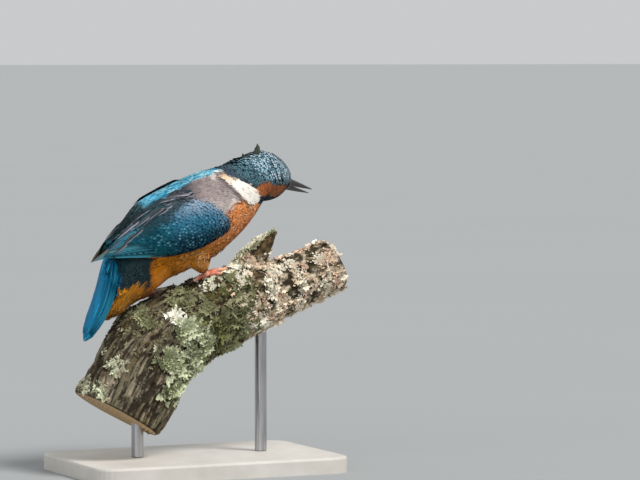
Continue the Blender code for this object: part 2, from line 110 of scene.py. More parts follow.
# Toes: reach along the perch, degrees round it, radius at the root, radius at the tip.
TOES = {"inner": (6.6, 11.0, 1.05, 0.75), "middle": (11.2, 1.0, 1.25, 0.8), "outer": (9.2, -8.0, 1.1, 0.75),
        "hind": (-6.5, -2.0, 1.1, 0.8)}
TOE_GAP, BALL_RADIUS, SHANK_STRAIGHT = 0.5, 1.7, 1.1
# Feet: station on the perch, degrees from its crest, and which way the toes' degrees run.
FEET = {"right": (4.7, -17.0, -1.0), "left": (3.36, 22.0, 1.0)}


# ---------------------------------------------------------------- small helpers
def unit(v):
    """Vectors of length 1 along the given ones."""
    return v / np.maximum(np.linalg.norm(v, axis=-1, keepdims=True), 1e-9)


def dot(a, b):
    return (a * b).sum(-1)


def smoothstep(low, high, x):
    t = np.clip((x - low) / (high - low), 0.0, 1.0)
    return t * t * (3 - 2 * t)


def mix(a, b, share):
    """Values on the way from a to b, such as colours, with one share for each of them."""
    share = np.asarray(share)[..., None]
    return np.asarray(a) * (1 - share) + np.asarray(b) * share


def srgb(r, g, b):
    """Linear colour from the values seen on a screen."""
    c = np.array((r, g, b), float)
    return np.where(c < 0.04045, c / 12.92, ((c + 0.055) / 1.055) ** 2.4)


def lattice(i, seed):
    """Random values from 0 to 1 at whole-numbered places, the same each run."""
    n = (i[..., 0] * 73856093) ^ (i[..., 1] * 19349663) ^ (i[..., 2] * 83492791) ^ (seed * 2654435)
    n = ((n ^ (n >> 13)) * 1274126177) & 0x7FFFFFFF
    return ((n ^ (n >> 15)) & 0xFFFF) / 65535.0


def noise(p, size, seed=0):
    """Smooth noise from 0 to 1 with lumps about as big as size."""
    q = p / size
    i = np.floor(q).astype(np.int64)
    f = q - i
    f = f * f * (3 - 2 * f)
    total = 0.0
    for corner in range(8):
        step = np.array([corner & 1, corner >> 1 & 1, corner >> 2])
        total = total + lattice(i + step, seed) * np.prod(np.where(step, f, 1 - f), axis=-1)
    return total


def layered(p, size, octaves=4, seed=0):
    """Noise from 0 to 1 with finer and finer lumps."""
    total, weight = 0.0, 0.0
    for octave in range(octaves):
        share = 0.5 ** octave
        total = total + noise(p, size * share, seed + octave) * share
        weight += share
    return total / weight


def table_at(rows, places):
    """Rows of a table at places between its rows, on a smooth curve through all of them."""
    rows = np.array(rows, float)
    places = np.atleast_1d(places).astype(float)
    first = np.clip(np.floor(places), 0, len(rows) - 2).astype(int)
    s = (places - first)[:, None]
    a, b, c, d = (rows[np.clip(first + step, 0, len(rows) - 1)] for step in (-1, 0, 1, 2))
    start, end = 0.5 * (c - a), 0.5 * (d - b)
    return b + start * s + (3 * (c - b) - 2 * start - end) * s ** 2 + (2 * (b - c) + start + end) * s ** 3


def axes_of(rows):
    """Forward, left and top of each station row."""
    found = []
    for row in rows:
        turn = Euler([math.radians(v) for v in (row[5], -row[4], row[3])], "XYZ").to_matrix()
        found.append([turn.col[0], turn.col[1], turn.col[2]])
    return np.array(found).transpose(1, 0, 2)


HEAD_FORWARD, HEAD_LEFT, HEAD_TOP = (axis[0] for axis in axes_of([(0, 0, 0, HEAD_YAW, HEAD_PITCH, HEAD_ROLL)]))


def head_point(ahead, left, up):
    """Point in the head's own axes, from its middle."""
    return HEAD_CENTRE + HEAD_FORWARD * ahead + HEAD_LEFT * left + HEAD_TOP * up


EYE_CENTRES = {side: head_point(EYE_PLACE[0], sign * EYE_PLACE[1], EYE_PLACE[2])
               for side, sign in (("left", 1.0), ("right", -1.0))}
BODY = TRUNK + [(*head_point(a, 0, 0), HEAD_YAW, HEAD_PITCH, HEAD_ROLL, w, u, d) for a, w, u, d in HEAD]
BODY_END = len(BODY) - 1.0


def tree_of(points):
    """Tree that finds the nearest of some points."""
    tree = KDTree(len(points))
    for index, point in enumerate(points):
        tree.insert(point, index)
    tree.balance()
    return tree


def nearest_row(p, rows):
    """For each point, the index of the station row that is nearest to it."""
    chunks = np.array_split(p, max(1, len(p) // 4000))
    return np.concatenate([((chunk[:, None] - rows[None, :, :3]) ** 2).sum(-1).argmin(1) for chunk in chunks])


def pair(across, along):
    """Coordinates on a flat map from their two parts."""
    return np.stack(np.broadcast_arrays(across, along), -1)


# ---------------------------------------------------------------- meshes
def make_object(name, verts, faces, colours=None, bake=None, vane=None):
    """Mesh object from arrays in millimetres. Faces all have the same number of corners."""
    mesh = bpy.data.meshes.new(name)
    faces = np.asarray(faces, np.int32)
    mesh.vertices.add(len(verts))
    mesh.vertices.foreach_set("co", (np.asarray(verts, float) * MM).astype(np.float32).ravel())
    mesh.loops.add(faces.size)
    mesh.loops.foreach_set("vertex_index", faces.ravel())
    mesh.polygons.add(len(faces))
    mesh.polygons.foreach_set("loop_start", np.arange(0, faces.size, faces.shape[1], dtype=np.int32))
    mesh.update(calc_edges=True)
    mesh.validate()
    corners = np.zeros(len(mesh.loops), np.int32)
    mesh.loops.foreach_get("vertex_index", corners)
    if colours is not None:
        rgba = np.ones((len(verts), 4), np.float32)
        rgba[:, :3] = np.clip(colours, 0, 1)
        mesh.color_attributes.new("Col", "FLOAT_COLOR", "POINT").data.foreach_set("color", rgba.ravel())
    for label, values in (("OFBake", bake), ("Vane", vane)):
        if values is not None:
            layer = mesh.uv_layers.new(name=label)
            layer.data.foreach_set("uv", np.asarray(values, np.float32)[corners].ravel())
    mesh.polygons.foreach_set("use_smooth", np.full(len(mesh.polygons), True))
    item = bpy.data.objects.new(name, mesh)
    bpy.context.scene.collection.objects.link(item)
    return item


def grid_faces(rows, columns, closed=False):
    """Quads between neighbouring rows of points, closed round each row if wanted."""
    r, c = np.meshgrid(np.arange(rows - 1), np.arange(columns if closed else columns - 1), indexing="ij")
    after = (c + 1) % columns
    return np.stack([r * columns + c, r * columns + after, (r + 1) * columns + after, (r + 1) * columns + c],
                    -1).reshape(-1, 4)


def many_grids(count, rows, columns):
    """Quads of a number of equal grids whose points follow one another."""
    starts = np.arange(count) * rows * columns
    return (grid_faces(rows, columns)[None] + starts[:, None, None]).reshape(-1, 4)


def closed_loft(rings):
    """Vertices and quads of a tube through rings (rings, sides, 3), capped by fans of quads."""
    rings = np.asarray(rings, float)
    count, sides = rings.shape[:2]
    verts = rings.reshape(-1, 3)
    faces = [grid_faces(count, sides, closed=True)]
    for ring, flip in ((0, True), (count - 1, False)):
        centre = len(verts)
        verts = np.vstack([verts, rings[ring].mean(0)])
        step = np.arange(0, sides, 2)
        fan = np.stack([ring * sides + step, ring * sides + (step + 1) % sides,
                        ring * sides + (step + 2) % sides, np.full(len(step), centre)], -1)
        faces.append(fan[:, ::-1] if flip else fan)
    return verts, np.vstack(faces)


def join(parts):
    """One list of vertices and one of faces from those of several forms."""
    verts, faces, start = [], [], 0
    for v, f in parts:
        verts.append(v)
        faces.append(np.asarray(f) + start)
        start += len(v)
    return np.vstack(verts), np.vstack(faces)


def read_mesh(mesh):
    """Vertices in millimetres and normals of a mesh."""
    co, no = np.zeros(len(mesh.vertices) * 3), np.zeros(len(mesh.vertices) * 3)
    mesh.vertices.foreach_get("co", co)
    mesh.vertices.foreach_get("normal", no)
    return co.reshape(-1, 3) / MM, no.reshape(-1, 3)


def fuse(name, parts, voxel, smooth_steps):
    """One closed surface round several overlapping closed forms: (vertices, normals, quads)."""
    raw = make_object(name + "_raw", *join(parts))
    mesh = bmesh.new()
    mesh.from_mesh(raw.data)
    bmesh.ops.recalc_face_normals(mesh, faces=mesh.faces)
    mesh.to_mesh(raw.data)
    mesh.free()
    remesh = raw.modifiers.new("fuse", "REMESH")
    remesh.mode = "VOXEL"
    remesh.voxel_size = voxel * MM
    soften = raw.modifiers.new("soften", "SMOOTH")
    soften.factor, soften.iterations = 0.5, smooth_steps
    made = bpy.data.meshes.new_from_object(raw.evaluated_get(bpy.context.evaluated_depsgraph_get()))
    bpy.data.objects.remove(raw)
    verts, normals = read_mesh(made)
    faces = np.zeros(len(made.loops), np.int32)
    made.loops.foreach_get("vertex_index", faces)
    starts = np.zeros(len(made.polygons), np.int32)
    made.polygons.foreach_get("loop_start", starts)
    counts = np.diff(np.append(starts, len(faces)))
    quads = faces[starts[counts == 4][:, None] + np.arange(4)]
    bpy.data.meshes.remove(made)
    return verts, normals, quads


def finish_piece(item, material, replaces=()):
    """Give a piece its material, body and slot, and hide the solids that it stands in for."""
    item.data.materials.append(material)
    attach(item, "root")
    if replaces:
        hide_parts(*replaces)
    return item


# ---------------------------------------------------------------- materials
class Look:
    """A material and the nodes that feed its shader."""

    def __init__(self, name, roughness, specular, **sockets):
        self.material = bpy.data.materials.new(name)
        self.material.use_nodes = True
        self.nodes, self.links = self.material.node_tree.nodes, self.material.node_tree.links
        self.shader = self.nodes["Principled BSDF"]
        self.shader.inputs["Roughness"].default_value = roughness
        self.shader.inputs["Specular IOR Level"].default_value = specular
        for label, value in sockets.items():
            self.shader.inputs[label.replace("_", " ")].default_value = value

    def feed(self, socket, source):
        self.links.new(source, self.shader.inputs[socket])

    def painted(self):
        """The colour painted on the mesh."""
        made = self.nodes.new("ShaderNodeAttribute")
        made.attribute_name = "Col"
        return made.outputs["Color"]

    def noise(self, scale, detail=4.0, roughness=0.55, stretch=None, vector=None):
        """Noise over the piece, or over another map, which can be stretched."""
        if vector is None:
            vector = self.nodes.new("ShaderNodeTexCoord").outputs["Object"]
        if stretch:
            mapping = self.nodes.new("ShaderNodeMapping")
            mapping.inputs["Scale"].default_value = stretch
            self.links.new(vector, mapping.inputs["Vector"])
            vector = mapping.outputs["Vector"]
        made = self.nodes.new("ShaderNodeTexNoise")
        for label, value in (("Scale", scale), ("Detail", detail), ("Roughness", roughness)):
            made.inputs[label].default_value = value
        self.links.new(vector, made.inputs["Vector"])
        return made.outputs["Fac"]

    def ramp(self, source, *stops):
        """Colours or greys against the source, each stop a place and its value."""
        made = self.nodes.new("ShaderNodeValToRGB")
        self.links.new(source, made.inputs["Fac"])
        while len(made.color_ramp.elements) < len(stops):
            made.color_ramp.elements.new(0.5)
        for element, (place, value) in zip(made.color_ramp.elements, stops):
            element.position = place
            element.color = (*np.broadcast_to(value, 3), 1.0)
        return made.outputs["Color"]

    def multiply(self, a, b):
        made = self.nodes.new("ShaderNodeMix")
        made.data_type, made.blend_type = "RGBA", "MULTIPLY"
        made.inputs["Factor"].default_value = 1.0
        self.links.new(a, made.inputs["A"])
        self.links.new(b, made.inputs["B"])
        return made.outputs["Result"]

    def shade(self, source, *stops):
        """The painted colour, darkened or lightened by greys against the source."""
        colour = self.multiply(self.painted(), self.ramp(source, *stops))
        self.feed("Base Color", colour)
        return colour

    def bump(self, height, strength, distance, after=None):
        """Fine relief, on top of another one if that is given."""
        made = self.nodes.new("ShaderNodeBump")
        made.inputs["Strength"].default_value = strength
        made.inputs["Distance"].default_value = distance
        self.links.new(height, made.inputs["Height"])
        if after is not None:
            self.links.new(after, made.inputs["Normal"])
        self.feed("Normal", made.outputs["Normal"])
        return made.outputs["Normal"]


def grained(name, roughness, specular, grain, stops, relief=None, stretch=None, painted=True):
    """Material with a grain of noise, which shades the painted colour or else gives the colour alone."""
    look = Look(name, roughness, specular)
    source = look.noise(*grain, stretch=stretch)
    if painted:
        look.shade(source, *stops)
    else:
        look.feed("Base Color", look.ramp(source, *stops))
    if relief:
        look.bump(source, *relief)
    return look.material


def plumage_material(name, roughness, specular, strands, contrast, sheen=0.0):
    """Feather vanes: the painted colour, streaked by barbs that run out from the shaft."""
    look = Look(name, roughness, specular, Sheen_Weight=sheen)
    uv = look.nodes.new("ShaderNodeUVMap")
    uv.uv_map = "Vane"
    barbs = look.noise(strands, 3.0, 0.6, stretch=(6.0, 1.0, 1.0), vector=uv.outputs["UV"])
    look.shade(barbs, (0.25, 1.0 - contrast), (0.75, 1.0))
    look.feed("Specular Tint", look.painted())
    look.bump(barbs, 0.3, 0.0002)
    return look.material


# ---------------------------------------------------------------- the bird's form without its coat
def body_rings(places, sides, depth):
    """Sections of trunk, neck and head, lying inside the coat by its depth at each place."""
    rows = table_at(BODY, places)
    _, left, top = axes_of(rows)
    angle = 2 * np.pi * np.arange(sides) / sides
    inner = np.asarray(depth)[:, None]
    rise = np.where(np.sin(angle) > 0, rows[:, 7:8], rows[:, 8:9]) - inner
    across, up = (rows[:, 6:7] - inner) * np.cos(angle), rise * np.sin(angle)
    return rows[:, None, :3] + left[:, None] * across[..., None] + top[:, None] * up[..., None]


WING_END = len(WING) - 1.0


def wing_point(place, across, height, side, share=1.0):
    """Point of a wing's outer face: across runs from -1 at the lower edge to 1 at the upper edge."""
    place, across, height = (np.asarray(v, float) for v in np.broadcast_arrays(place, across, height))
    shape = place.shape
    place, across, height = place.ravel(), across.ravel(), height.ravel()
    rows = table_at(WING, place)
    ahead = table_at(WING, np.maximum(place - 0.05, 0.0))
    behind = table_at(WING, np.minimum(place + 0.05, WING_END))
    forward = unit(ahead[:, :3] - behind[:, :3])
    lean = np.radians(rows[:, 3])
    outward = np.stack([np.zeros_like(lean), -np.cos(lean), np.sin(lean)], -1)
    outward = unit(outward - forward * dot(outward, forward)[:, None])
    chord = np.cross(forward, outward)
    chord = chord * np.sign(chord[:, 2:3])
    along = rows[:, 4] * across
    out = rows[:, 5] * share * np.sqrt(np.clip(1 - across ** 2, 0, 1)) - along ** 2 / (2 * rows[:, 6]) + height
    point = rows[:, :3] + chord * along[:, None] + outward * out[:, None]
    if side == "left":
        point[:, 1] *= -1
        point[:, 0] += LEFT_WING_TUCK * (place / WING_END) ** 3
    return point.reshape(*shape, 3)


def wing_rings(side, places, sides, depth):
    """Closed sections of a wing, thinned by the depth of its coverts."""
    angle = 2 * np.pi * np.arange(sides) / sides
    rings = []
    for place in places:
        row = table_at(WING, place)[0]
        reach = max(row[4] - depth, 0.4) / row[4]
        outer = wing_point(place, np.cos(angle) * reach, -depth * 0.9, side)
        inner = wing_point(place, np.cos(angle) * reach, -depth * 0.9 - 0.2, side, share=-0.6)
        rings.append(np.where((np.sin(angle) >= 0)[:, None], outer, inner))
    return np.array(rings)


def tail_axes():
    """Directions along the tail, across it and square to it."""
    along = unit(TAIL_TIP - TAIL_ROOT)
    turn = Matrix.Rotation(math.radians(-TAIL_TWIST), 3, Vector(along))
    across = np.array(turn @ Vector((0.0, 1.0, 0.0)))
    across = unit(across - along * dot(across, along))
    return along, across, np.cross(along, across)


TAIL_BOW = 2.4      # how far the middle of the tail bends forward
TAIL_SHARES, TAIL_WIDTHS, TAIL_THICKNESS = zip(*TAIL)


def tail_point(share, across, height):
    """Point of the tail: share of its length, place across it from -1 to 1, height over its middle plane."""
    share, across, height = (np.asarray(v, float) for v in np.broadcast_arrays(share, across, height))
    _, side, normal = tail_axes()
    if normal[0] > 0:
        normal = -normal
    width = np.interp(share, TAIL_SHARES, TAIL_WIDTHS)
    centre = TAIL_ROOT + (TAIL_TIP - TAIL_ROOT) * share[..., None]
    centre[..., 0] += TAIL_BOW * np.sin(np.pi * np.clip(share, 0, 1)) ** 1.5
    return centre + side * (width * across)[..., None] + normal * height[..., None]


def tube_rings(points, radii, sides, across_from):
    """Round sections along a line of points, whose sides start square to a given direction."""
    along = unit(np.gradient(points, axis=0))
    across = unit(np.cross(along, across_from))
    other = np.cross(along, across)
    angle = 2 * np.pi * np.arange(sides) / sides
    round_way = across[:, None] * np.cos(angle)[:, None] + other[:, None] * np.sin(angle)[:, None]
    return points[:, None] + radii[:, None, None] * round_way


def thigh_rings(side, depth):
    """Sections of a thigh, thinned by the depth of its coat."""
    mid = table_at(THIGHS[side], np.linspace(0, len(THIGHS[side]) - 1.0, 14))
    return tube_rings(mid[:, :3], np.maximum(mid[:, 3] - depth, 1.2), 20, (1.0, 0.0, 0.0))


# Depth of the coat over the skin: on the body, against its stations, and on the other parts.
COAT_STATIONS = (0, 1, 7, 9.5, 14, BODY_END)
BODY_COAT = (0.9, 1.3, 1.3, 0.9, 0.6, 0.35)
WING_COAT, THIGH_COAT, TAIL_COAT = 1.3, 1.0, 0.7
TAIL_CORE_END = 0.5       # share of the tail's length that has skin
SKIN_VOXEL = 0.62


def tail_rings():
    """Sections of the root of the tail, thinned by the depth of its coverts."""
    angle = 2 * np.pi * np.arange(24) / 24
    rings = []
    for share in np.linspace(0.0, TAIL_CORE_END, 14):
        half = max(np.interp(share, TAIL_SHARES, TAIL_THICKNESS) - TAIL_COAT, 0.5)
        rings.append(tail_point(share, np.cos(angle) * 0.8, np.sin(angle) * half))
    return np.array(rings)


body_places = np.linspace(0.0, BODY_END, 90)
skin_parts = [closed_loft(body_rings(body_places, 48, np.interp(body_places, COAT_STATIONS, BODY_COAT)))]
for side in SIDES:
    skin_parts.append(closed_loft(wing_rings(side, np.linspace(0.25, 6.4, 40), 32, WING_COAT)))
    skin_parts.append(closed_loft(thigh_rings(side, THIGH_COAT)))
skin_parts.append(closed_loft(tail_rings()))
skin_co, _, skin_faces = fuse("skin", skin_parts, SKIN_VOXEL, 5)
SKIN = BVHTree.FromPolygons([Vector(v) for v in skin_co], skin_faces.tolist())


def on_skin(points):
    """The places of the skin that are nearest to some points, and its normals there."""
    found = [SKIN.find_nearest(Vector(p))[:2] for p in points]
    return np.array([place for place, _ in found]), np.array([normal for _, normal in found])


# Axis of the body, against which every place on it is measured.
AXIS_PLACES = np.linspace(0.0, BODY_END, 400)
AXIS_ROWS = table_at(BODY, AXIS_PLACES)
AXIS_FORWARD, AXIS_LEFT, AXIS_TOP = axes_of(AXIS_ROWS)


class Where:
    """Places on the bird: station along the body, degrees from the back's middle line, and head coordinates."""

    def __init__(self, p):
        self.p = p
        nearest = nearest_row(p, AXIS_ROWS)
        row, offset = AXIS_ROWS[nearest], p - AXIS_ROWS[nearest, :3]
        self.place = AXIS_PLACES[nearest]
        self.forward = AXIS_FORWARD[nearest]
        up, left = dot(offset, AXIS_TOP[nearest]), dot(offset, AXIS_LEFT[nearest])
        rise = np.where(up > 0, row[:, 7], row[:, 8])
        self.angle = np.degrees(np.arctan2(left / row[:, 6], up / rise))
        self.down = np.abs(self.angle)
        self.side = np.where(self.angle > 0, 1.0, -1.0)
        head = p - HEAD_CENTRE
        self.ahead, self.up = dot(head, HEAD_FORWARD), dot(head, HEAD_TOP)

    def unwrap(self):
        """Place on the unwrap of the skin: round the body one way and along it the other."""
        return np.stack([0.03 + 0.94 * (self.angle + 180) / 360, 0.03 + 0.94 * self.place / BODY_END], -1)


# Grid over a wing's outer face, on which the places of its coat are measured.
WING_GRID = np.meshgrid(np.linspace(0, WING_END, 81), np.linspace(-1, 1, 41), indexing="ij")
GRID_PLACE, GRID_ACROSS = (values.ravel() for values in WING_GRID)
WING_TREE = {side: tree_of(wing_point(GRID_PLACE, GRID_ACROSS, -WING_COAT, side)) for side in SIDES}


def wing_place(p, side):
    """Station and place across the nearest part of a wing's outer face, and the distance to it."""
    found = np.array([WING_TREE[side].find(point)[1:] for point in p])
    index = found[:, 0].astype(int)
    return GRID_PLACE[index], GRID_ACROSS[index], found[:, 1]


# ---------------------------------------------------------------- markings, the same for skin and coat
CROWN_DARK, CROWN_TEAL, SLATE = srgb(0.22, 0.30, 0.33), srgb(0.28, 0.44, 0.50), srgb(0.34, 0.40, 0.47)
SPOT_AZURE, SPOT_LILAC, SPOT_TEAL = srgb(0.76, 0.92, 0.99), srgb(0.92, 0.94, 1.0), srgb(0.50, 0.68, 0.74)
CHEEK, CHEEK_DARK, MALAR = srgb(0.77, 0.47, 0.28), srgb(0.61, 0.35, 0.20), srgb(0.12, 0.19, 0.27)
LORES, WHITE = srgb(0.10, 0.08, 0.07), srgb(0.97, 0.945, 0.905)
BUFF, THROAT = srgb(0.86, 0.76, 0.63), srgb(0.93, 0.86, 0.76)
CYAN, CYAN_PALE, CYAN_DEEP = srgb(0.34, 0.82, 0.98), srgb(0.82, 0.98, 1.0), srgb(0.10, 0.54, 0.76)
MANTLE, MANTLE_LIGHT, MANTLE_DARK = srgb(0.60, 0.545, 0.53), srgb(0.84, 0.79, 0.76), srgb(0.41, 0.36, 0.36)
SCAPULAR, SCAPULAR_TEAL, PALE_EDGE = srgb(0.19, 0.20, 0.22), srgb(0.14, 0.25, 0.28), srgb(0.74, 0.71, 0.77)
COVERT, COVERT_SHOULDER, COVERT_NAVY = srgb(0.19, 0.43, 0.54), srgb(0.57, 0.60, 0.66), srgb(0.04, 0.15, 0.20)
COVERT_SPOT, TEAL, TEAL_EDGE = srgb(0.46, 0.74, 0.85), srgb(0.08, 0.29, 0.34), srgb(0.40, 0.80, 0.90)
PRIMARY = srgb(0.42, 0.37, 0.30)
BREAST, BREAST_LIGHT, BREAST_DARK = srgb(1.0, 0.645, 0.37), srgb(1.0, 0.82, 0.64), srgb(0.86, 0.47, 0.22)
CREAM, NECK_BROWN = srgb(0.95, 0.86, 0.66), srgb(0.50, 0.40, 0.33)
BELLY, BELLY_LIGHT, UNDERTAIL = srgb(0.83, 0.50, 0.07), srgb(0.94, 0.72, 0.36), srgb(0.79, 0.53, 0.14)
FLANK_NAVY, TAIL_BLUE, TAIL_DARK = srgb(0.19, 0.26, 0.28), srgb(0.02, 0.48, 0.64), srgb(0.005, 0.17, 0.24)

# Edges of the markings. Degrees from the back's middle line, against station or millimetres in the head.
PATCH_DOWN = (18, 29, 54, 70, 90, 108, 116)
PATCH_REAR = (6.52, 6.55, 6.60, 6.66, 6.72, 6.88, 7.12)
PATCH_FRONT = (6.64, 6.74, 7.00, 7.25, 7.42, 7.42, 7.2)
CROWN_AHEAD, CROWN_UP = (-26, -24, -18, -9, 0, 7, 11, 16), (-3.5, -1.5, 0.4, 1.0, 1.7, 3.0, 2.2, 0.6)
MALAR_AHEAD, MALAR_TOP = (-22, -15, -5, 5, 12, 16), (-7.8, -5.8, -5.2, -3.8, -2.4, -1.2)
MALAR_LOW = (-10.8, -10.2, -9.0, -7.2, -4.8, -3.0)
STRIPE_PLACE, STRIPE_DOWN = (3.2, 4.1, 4.7, 5.5, 6.1, 6.6), (30, 22, 24, 23, 26, 25)
STRIPE_LEFT = (12, 16, 6, 10, 26, 25)
BACK_PLACE, BACK_DOWN = (2.9, 3.6, 5.5, 6.2, 6.8), (62, 96, 96, 93, 88)
# Front edge of the tail's blue on the sides of the rump, x against z.
TAIL_SIDE_Z, TAIL_SIDE_X = (79.0, 86.0, 92.5, 105.0), (-50.6, -47.0, -43.6, -42.6)


def breast_orange(here):
    orange = mix(BREAST_DARK, BREAST, np.clip(here.fine * 1.2 + 0.2, 0, 1))
    return mix(orange, BREAST_LIGHT, smoothstep(0.60, 0.85, here.fine) * 0.5)


def paint_underparts(here):
    """Orange breast, amber belly and undertail."""
    belly = mix(BELLY, BELLY_LIGHT, smoothstep(0.55, 0.9, here.fine) * 0.5)
    colour = mix(belly, breast_orange(here), smoothstep(4.6, 6.0, here.place))
    return mix(UNDERTAIL, colour, smoothstep(1.6, 2.8, here.place))


def paint_back(here, colour):
    """Mantle, scapulars and bright middle stripe: the colour, and the shares of back and stripe."""
    place, down, fine = here.place, here.down, here.fine
    mantle = mix(MANTLE_DARK, MANTLE, np.clip(fine * 2.2 - 0.2, 0, 1))
    pale = smoothstep(0.5, 0.8, here.broad) + 0.4 * smoothstep(50, 85, down)
    mantle = mix(mantle, MANTLE_LIGHT, np.clip(pale, 0, 1))
    scapular = mix(SCAPULAR, SCAPULAR_TEAL, smoothstep(5.0, 4.0, place))
    back = mix(scapular, mantle, smoothstep(5.0, 5.7, place + (down - 45) * 0.012))
    edge = np.interp(place, BACK_PLACE, BACK_DOWN)
    on_back = smoothstep(edge + 3, edge - 3, down)
    colour = mix(colour, back, on_back * smoothstep(2.9, 3.3, place))

    stripe = mix(CYAN_DEEP, CYAN, np.clip(fine * 1.7, 0, 1))
    ends = smoothstep(5.0, 6.2, place) + smoothstep(4.4, 3.8, place)
    stripe = mix(stripe, CYAN_PALE, smoothstep(0.45, 0.75, fine) * ends * 0.8)
    edge = np.interp(place, STRIPE_PLACE, STRIPE_DOWN)
    edge = np.where(here.left > 0, np.minimum(edge, np.interp(place, STRIPE_PLACE, STRIPE_LEFT)), edge)
    on_stripe = smoothstep(edge + 2, edge - 2, down) * smoothstep(6.95, 6.75, place)
    return mix(colour, stripe, on_stripe), on_back, on_stripe


def paint_rump(here, colour):
    """Blue rump and sides of the tail's root, and dark flank: the colour, and the shares of rump and flank."""
    place, down, x, z = here.place, here.down, here.p[:, 0], here.p[:, 2]
    dark = smoothstep(1.6, 2.4, place) * np.maximum(smoothstep(5, 13, down), smoothstep(2.0, 2.8, place))
    rump_colour = mix(mix(CYAN_DEEP, TAIL_BLUE, here.fine), SCAPULAR_TEAL, dark)
    tail_side = smoothstep(0.4, -0.4, x - np.interp(z, TAIL_SIDE_Z, TAIL_SIDE_X)) * smoothstep(160, 150, down)
    rump = np.maximum(smoothstep(3.5, 3.1, place) * smoothstep(64, 52, down), tail_side)
    low = 91.4 + 0.5 * np.maximum(x + 34.0, 0.0)
    flank = smoothstep(-28.8, -30.2, x) * smoothstep(165, 150, down) * smoothstep(low - 0.7, low + 0.7, z)
    return mix(mix(colour, FLANK_NAVY, flank), rump_colour, rump), rump, flank


def patch_edges(here):
    """Stations of the rear and front edge of the white neck patch."""
    front = np.interp(here.down, PATCH_DOWN, PATCH_FRONT) + 0.3 * here.left * smoothstep(75, 95, here.down)
    return np.interp(here.down, PATCH_DOWN, PATCH_REAR), front


def paint_head(here, colour):
    """Throat, cheeks, malar stripes, crown and lores: the colour, and the share of the crown."""
    place, ahead, up, left, fine = here.place, here.ahead, here.up, here.left, here.fine
    on_head = smoothstep(6.9, 7.15, place)
    colour = mix(colour, mix(THROAT, breast_orange(here), smoothstep(8.2, 7.3, place)), on_head)
    crown_edge = np.interp(ahead, CROWN_AHEAD, CROWN_UP)
    malar_low = np.interp(ahead, MALAR_AHEAD, MALAR_LOW)
    malar_top = np.interp(ahead, MALAR_AHEAD, MALAR_TOP)
    malar_top = np.where((left > 0) & (ahead < -20.5), crown_edge, malar_top)
    in_front = smoothstep(-24.5 - 4.5 * left, -23.0 - 4.5 * left, ahead)
    cheek = mix(CHEEK_DARK, CHEEK, np.clip(fine * 1.6 + 0.1, 0, 1))
    colour = mix(colour, cheek, smoothstep(malar_top - 0.4, malar_top + 0.4, up) * in_front * on_head)
    malar = smoothstep(malar_low - 0.5, malar_low + 0.5, up) * smoothstep(malar_top + 0.4, malar_top - 0.4, up)
    colour = mix(colour, MALAR, malar * in_front * on_head)

    _, patch_front = patch_edges(here)
    crown = smoothstep(crown_edge - 0.5, crown_edge + 0.5, up)
    cheek_end = ahead - 0.15 * np.minimum((up - 0.5 * (crown_edge + malar_top)) ** 2, 12)
    crown = np.maximum(crown, smoothstep(84, 76, here.down) * smoothstep(-14.6, -15.6, cheek_end))
    crown = crown * smoothstep(patch_front - 0.03, patch_front + 0.05, place) * smoothstep(6.72, 6.9, place)
    spotted_ground = mix(CROWN_DARK, CROWN_TEAL, fine)
    crown_colour = mix(SLATE, spotted_ground, smoothstep(6.95, 7.75, place + here.broad * 0.4))
    # Painted light: the crown is painted at half brightness low on its sides, rising to full on top.
    colour = mix(colour, crown_colour * (0.5 + 0.5 * smoothstep(0.0, 7.0, up))[:, None], crown)

    lores = smoothstep(1.1, 0.5, np.abs(up - 0.9)) * smoothstep(8.2, 9.5, ahead)
    lores = np.maximum(lores, smoothstep(14.6, 15.6, ahead))
    spot = smoothstep(1.0, 0.4, np.abs(up - 2.5)) * smoothstep(9.0, 10.0, ahead) * smoothstep(14.4, 13.4, ahead)
    colour = mix(colour, CHEEK, spot * on_head)
    return mix(colour, LORES, lores * on_head), crown


def paint_patch(here, colour):
    """White patch on the neck's side, buff at its upper end, painted shadow behind: the colour and the patch's
    share.
    """
    place, down = here.place, here.down
    rear, front = patch_edges(here)
    patch = smoothstep(rear - 0.02, rear + 0.05, place) * smoothstep(front + 0.04, front - 0.02, place)
    patch = patch * smoothstep(11, 16, down) * smoothstep(118, 113, down)
    patch_colour = mix(BUFF, WHITE, smoothstep(38, 62, here.even_down) * np.clip(0.65 + here.fine, 0, 1))
    patch_colour = mix(patch_colour, NECK_BROWN, smoothstep(40, 32, here.even_down) * 0.8)
    patch_colour = mix(patch_colour, WHITE, smoothstep(26, 18, here.even_down))
    colour = mix(colour, patch_colour, patch)
    # Painted shadow: a dark band on the mantle just behind the patch's rear edge.
    behind = smoothstep(rear - 0.20, rear - 0.08, place) * (1 - patch) * smoothstep(20, 30, down)
    behind = behind * smoothstep(118, 108, down) * (place < rear + 0.05) * 0.75
    return mix(colour, MANTLE_DARK * 0.55, behind), patch


def markings(at):
    """Colour of the plumage at places on the body, and the shares of its markings there."""
    wobble = layered(at.p, 3.0, 3, 5) - 0.5
    here = SimpleNamespace(
        p=at.p, place=at.place + wobble * 0.10, down=at.down + wobble * 9, even_down=at.down,
        ahead=at.ahead + wobble * 1.6, up=at.up + wobble * 1.3, left=np.where(at.side > 0, 1.0, 0.0),
        fine=layered(at.p, 1.3, 3, 17), broad=layered(at.p, 7.0, 2, 29))
    colour, back, stripe = paint_back(here, paint_underparts(here))
    colour, rump, flank = paint_rump(here, colour)
    colour, crown = paint_head(here, colour)
    colour, patch = paint_patch(here, colour)
    in_sight = np.clip(0.62 + 0.12 * smoothstep(-25, -8, here.ahead) + 0.4 * smoothstep(-2, 8, here.up), 0, 1)
    return colour, {"crown": crown, "spotted": crown * smoothstep(6.8, 7.6, here.place) * in_sight,
                    "bright": smoothstep(-28, -14, here.ahead) * smoothstep(0.5, 6.0, here.up),
                    "patch": patch, "stripe": stripe, "rump": rump, "flank": flank * (1 - rump), "back": back}


